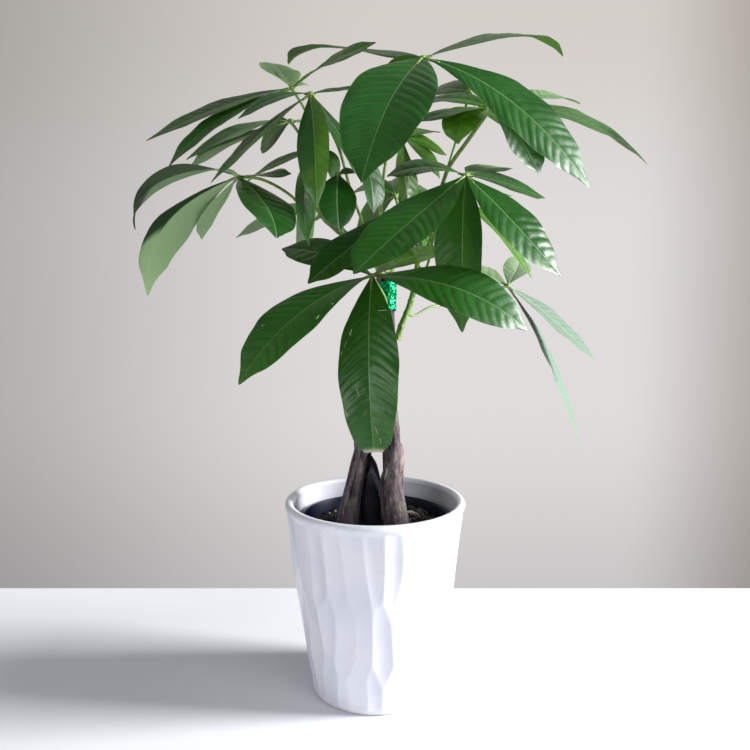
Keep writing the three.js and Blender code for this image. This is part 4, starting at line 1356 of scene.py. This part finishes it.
def stage_sheet(name, tilt, size, place, material):
    """A flat sheet of the stage, tilted up by this many degrees. In metres."""
    bm = new_mesh()
    bmesh.ops.create_grid(bm, x_segments=1, y_segments=1, size=1)
    turn = Matrix.Rotation(math.radians(tilt), 3, "X")
    bmesh.ops.rotate(bm, matrix=turn, verts=bm.verts[:])
    bmesh.ops.scale(bm, vec=size, verts=bm.verts[:])
    bmesh.ops.translate(bm, vec=place, verts=bm.verts[:])
    made = new_object(bm, name, [material])
    return made


class PLANT_OT_stage(bpy.types.Operator):
    """Make the table, the wall, the lights and the camera"""
    bl_idname = "plant.stage"
    bl_label = "Stage"

    def execute(self, context):
        scene = context.scene
        settings = scene.stage_sizes
        stage_sheet("table_top", 0, TABLE_SIZE, TABLE_PLACE, floor_finish(settings))
        wall = stage_sheet("wall", 90, WALL_SIZE, WALL_PLACE, wall_finish(settings))
        wall.visible_diffuse = False

        world = bpy.data.worlds.new("room")
        world.use_nodes = True
        sky = world.node_tree.nodes["Background"]
        sky.inputs["Color"].default_value = (*settings.room_light, 1)
        scene.world = world
        powers = (settings.window_light, settings.front_light, settings.fill_light)
        for (name, place, target, size, colour), power in zip(LAMPS, powers):
            light = bpy.data.lights.new(name, "AREA")
            light.shape = "RECTANGLE"
            light.size, light.size_y = size
            light.energy = power
            light.color = colour
            lamp = bpy.data.objects.new(name, light)
            lamp.location = place
            aim = Vector(target) - Vector(place)
            lamp.rotation_euler = aim.to_track_quat("-Z", "Y").to_euler()
            scene.collection.objects.link(lamp)

        data = bpy.data.cameras.new("camera")
        data.lens = settings.lens
        data.sensor_width = CAMERA_SENSOR
        camera = bpy.data.objects.new("camera", data)
        camera.location = Vector(CAMERA_PLACE) * MM
        camera.rotation_euler = (math.radians(90 - CAMERA_PITCH), 0, 0)
        scene.collection.objects.link(camera)
        scene.camera = camera
        scene.view_settings.view_transform = "Standard"
        return {"FINISHED"}


class PLANT_PT_panel(bpy.types.Panel):
    """Lists the pieces of the plant"""
    bl_idname = "PLANT_PT_panel"
    bl_label = "Potted Money Tree"
    bl_space_type = "VIEW_3D"
    bl_region_type = "UI"
    bl_category = "Money Tree"

    def draw(self, context):
        for group in (context.scene.plant_sizes, context.scene.stage_sizes):
            box = self.layout.box()
            for name in group.__annotations__:
                box.prop(group, name)
        for operator in OPERATORS:
            self.layout.operator(operator.bl_idname)


OPERATORS = (PLANT_OT_stage, PLANT_OT_cover_pot, PLANT_OT_nursery_pot, PLANT_OT_soil,
             PLANT_OT_trunk, PLANT_OT_foil_tie, PLANT_OT_shoots, PLANT_OT_leaves)
CLASSES = (PlantSizes, StageSizes, *OPERATORS, PLANT_PT_panel)


def register():
    for cls in CLASSES:
        bpy.utils.register_class(cls)
    bpy.types.Scene.plant_sizes = bpy.props.PointerProperty(type=PlantSizes)
    bpy.types.Scene.stage_sizes = bpy.props.PointerProperty(type=StageSizes)


def unregister():
    del bpy.types.Scene.stage_sizes
    del bpy.types.Scene.plant_sizes
    for cls in reversed(CLASSES):
        bpy.utils.unregister_class(cls)


def main():
    register()
    bpy.ops.plant.stage()
    bpy.ops.plant.cover_pot()
    bpy.ops.plant.nursery_pot()
    bpy.ops.plant.soil()
    bpy.ops.plant.trunk()
    bpy.ops.plant.foil_tie()
    bpy.ops.plant.shoots()
    bpy.ops.plant.leaves()


if __name__ == "__main__":
    main()
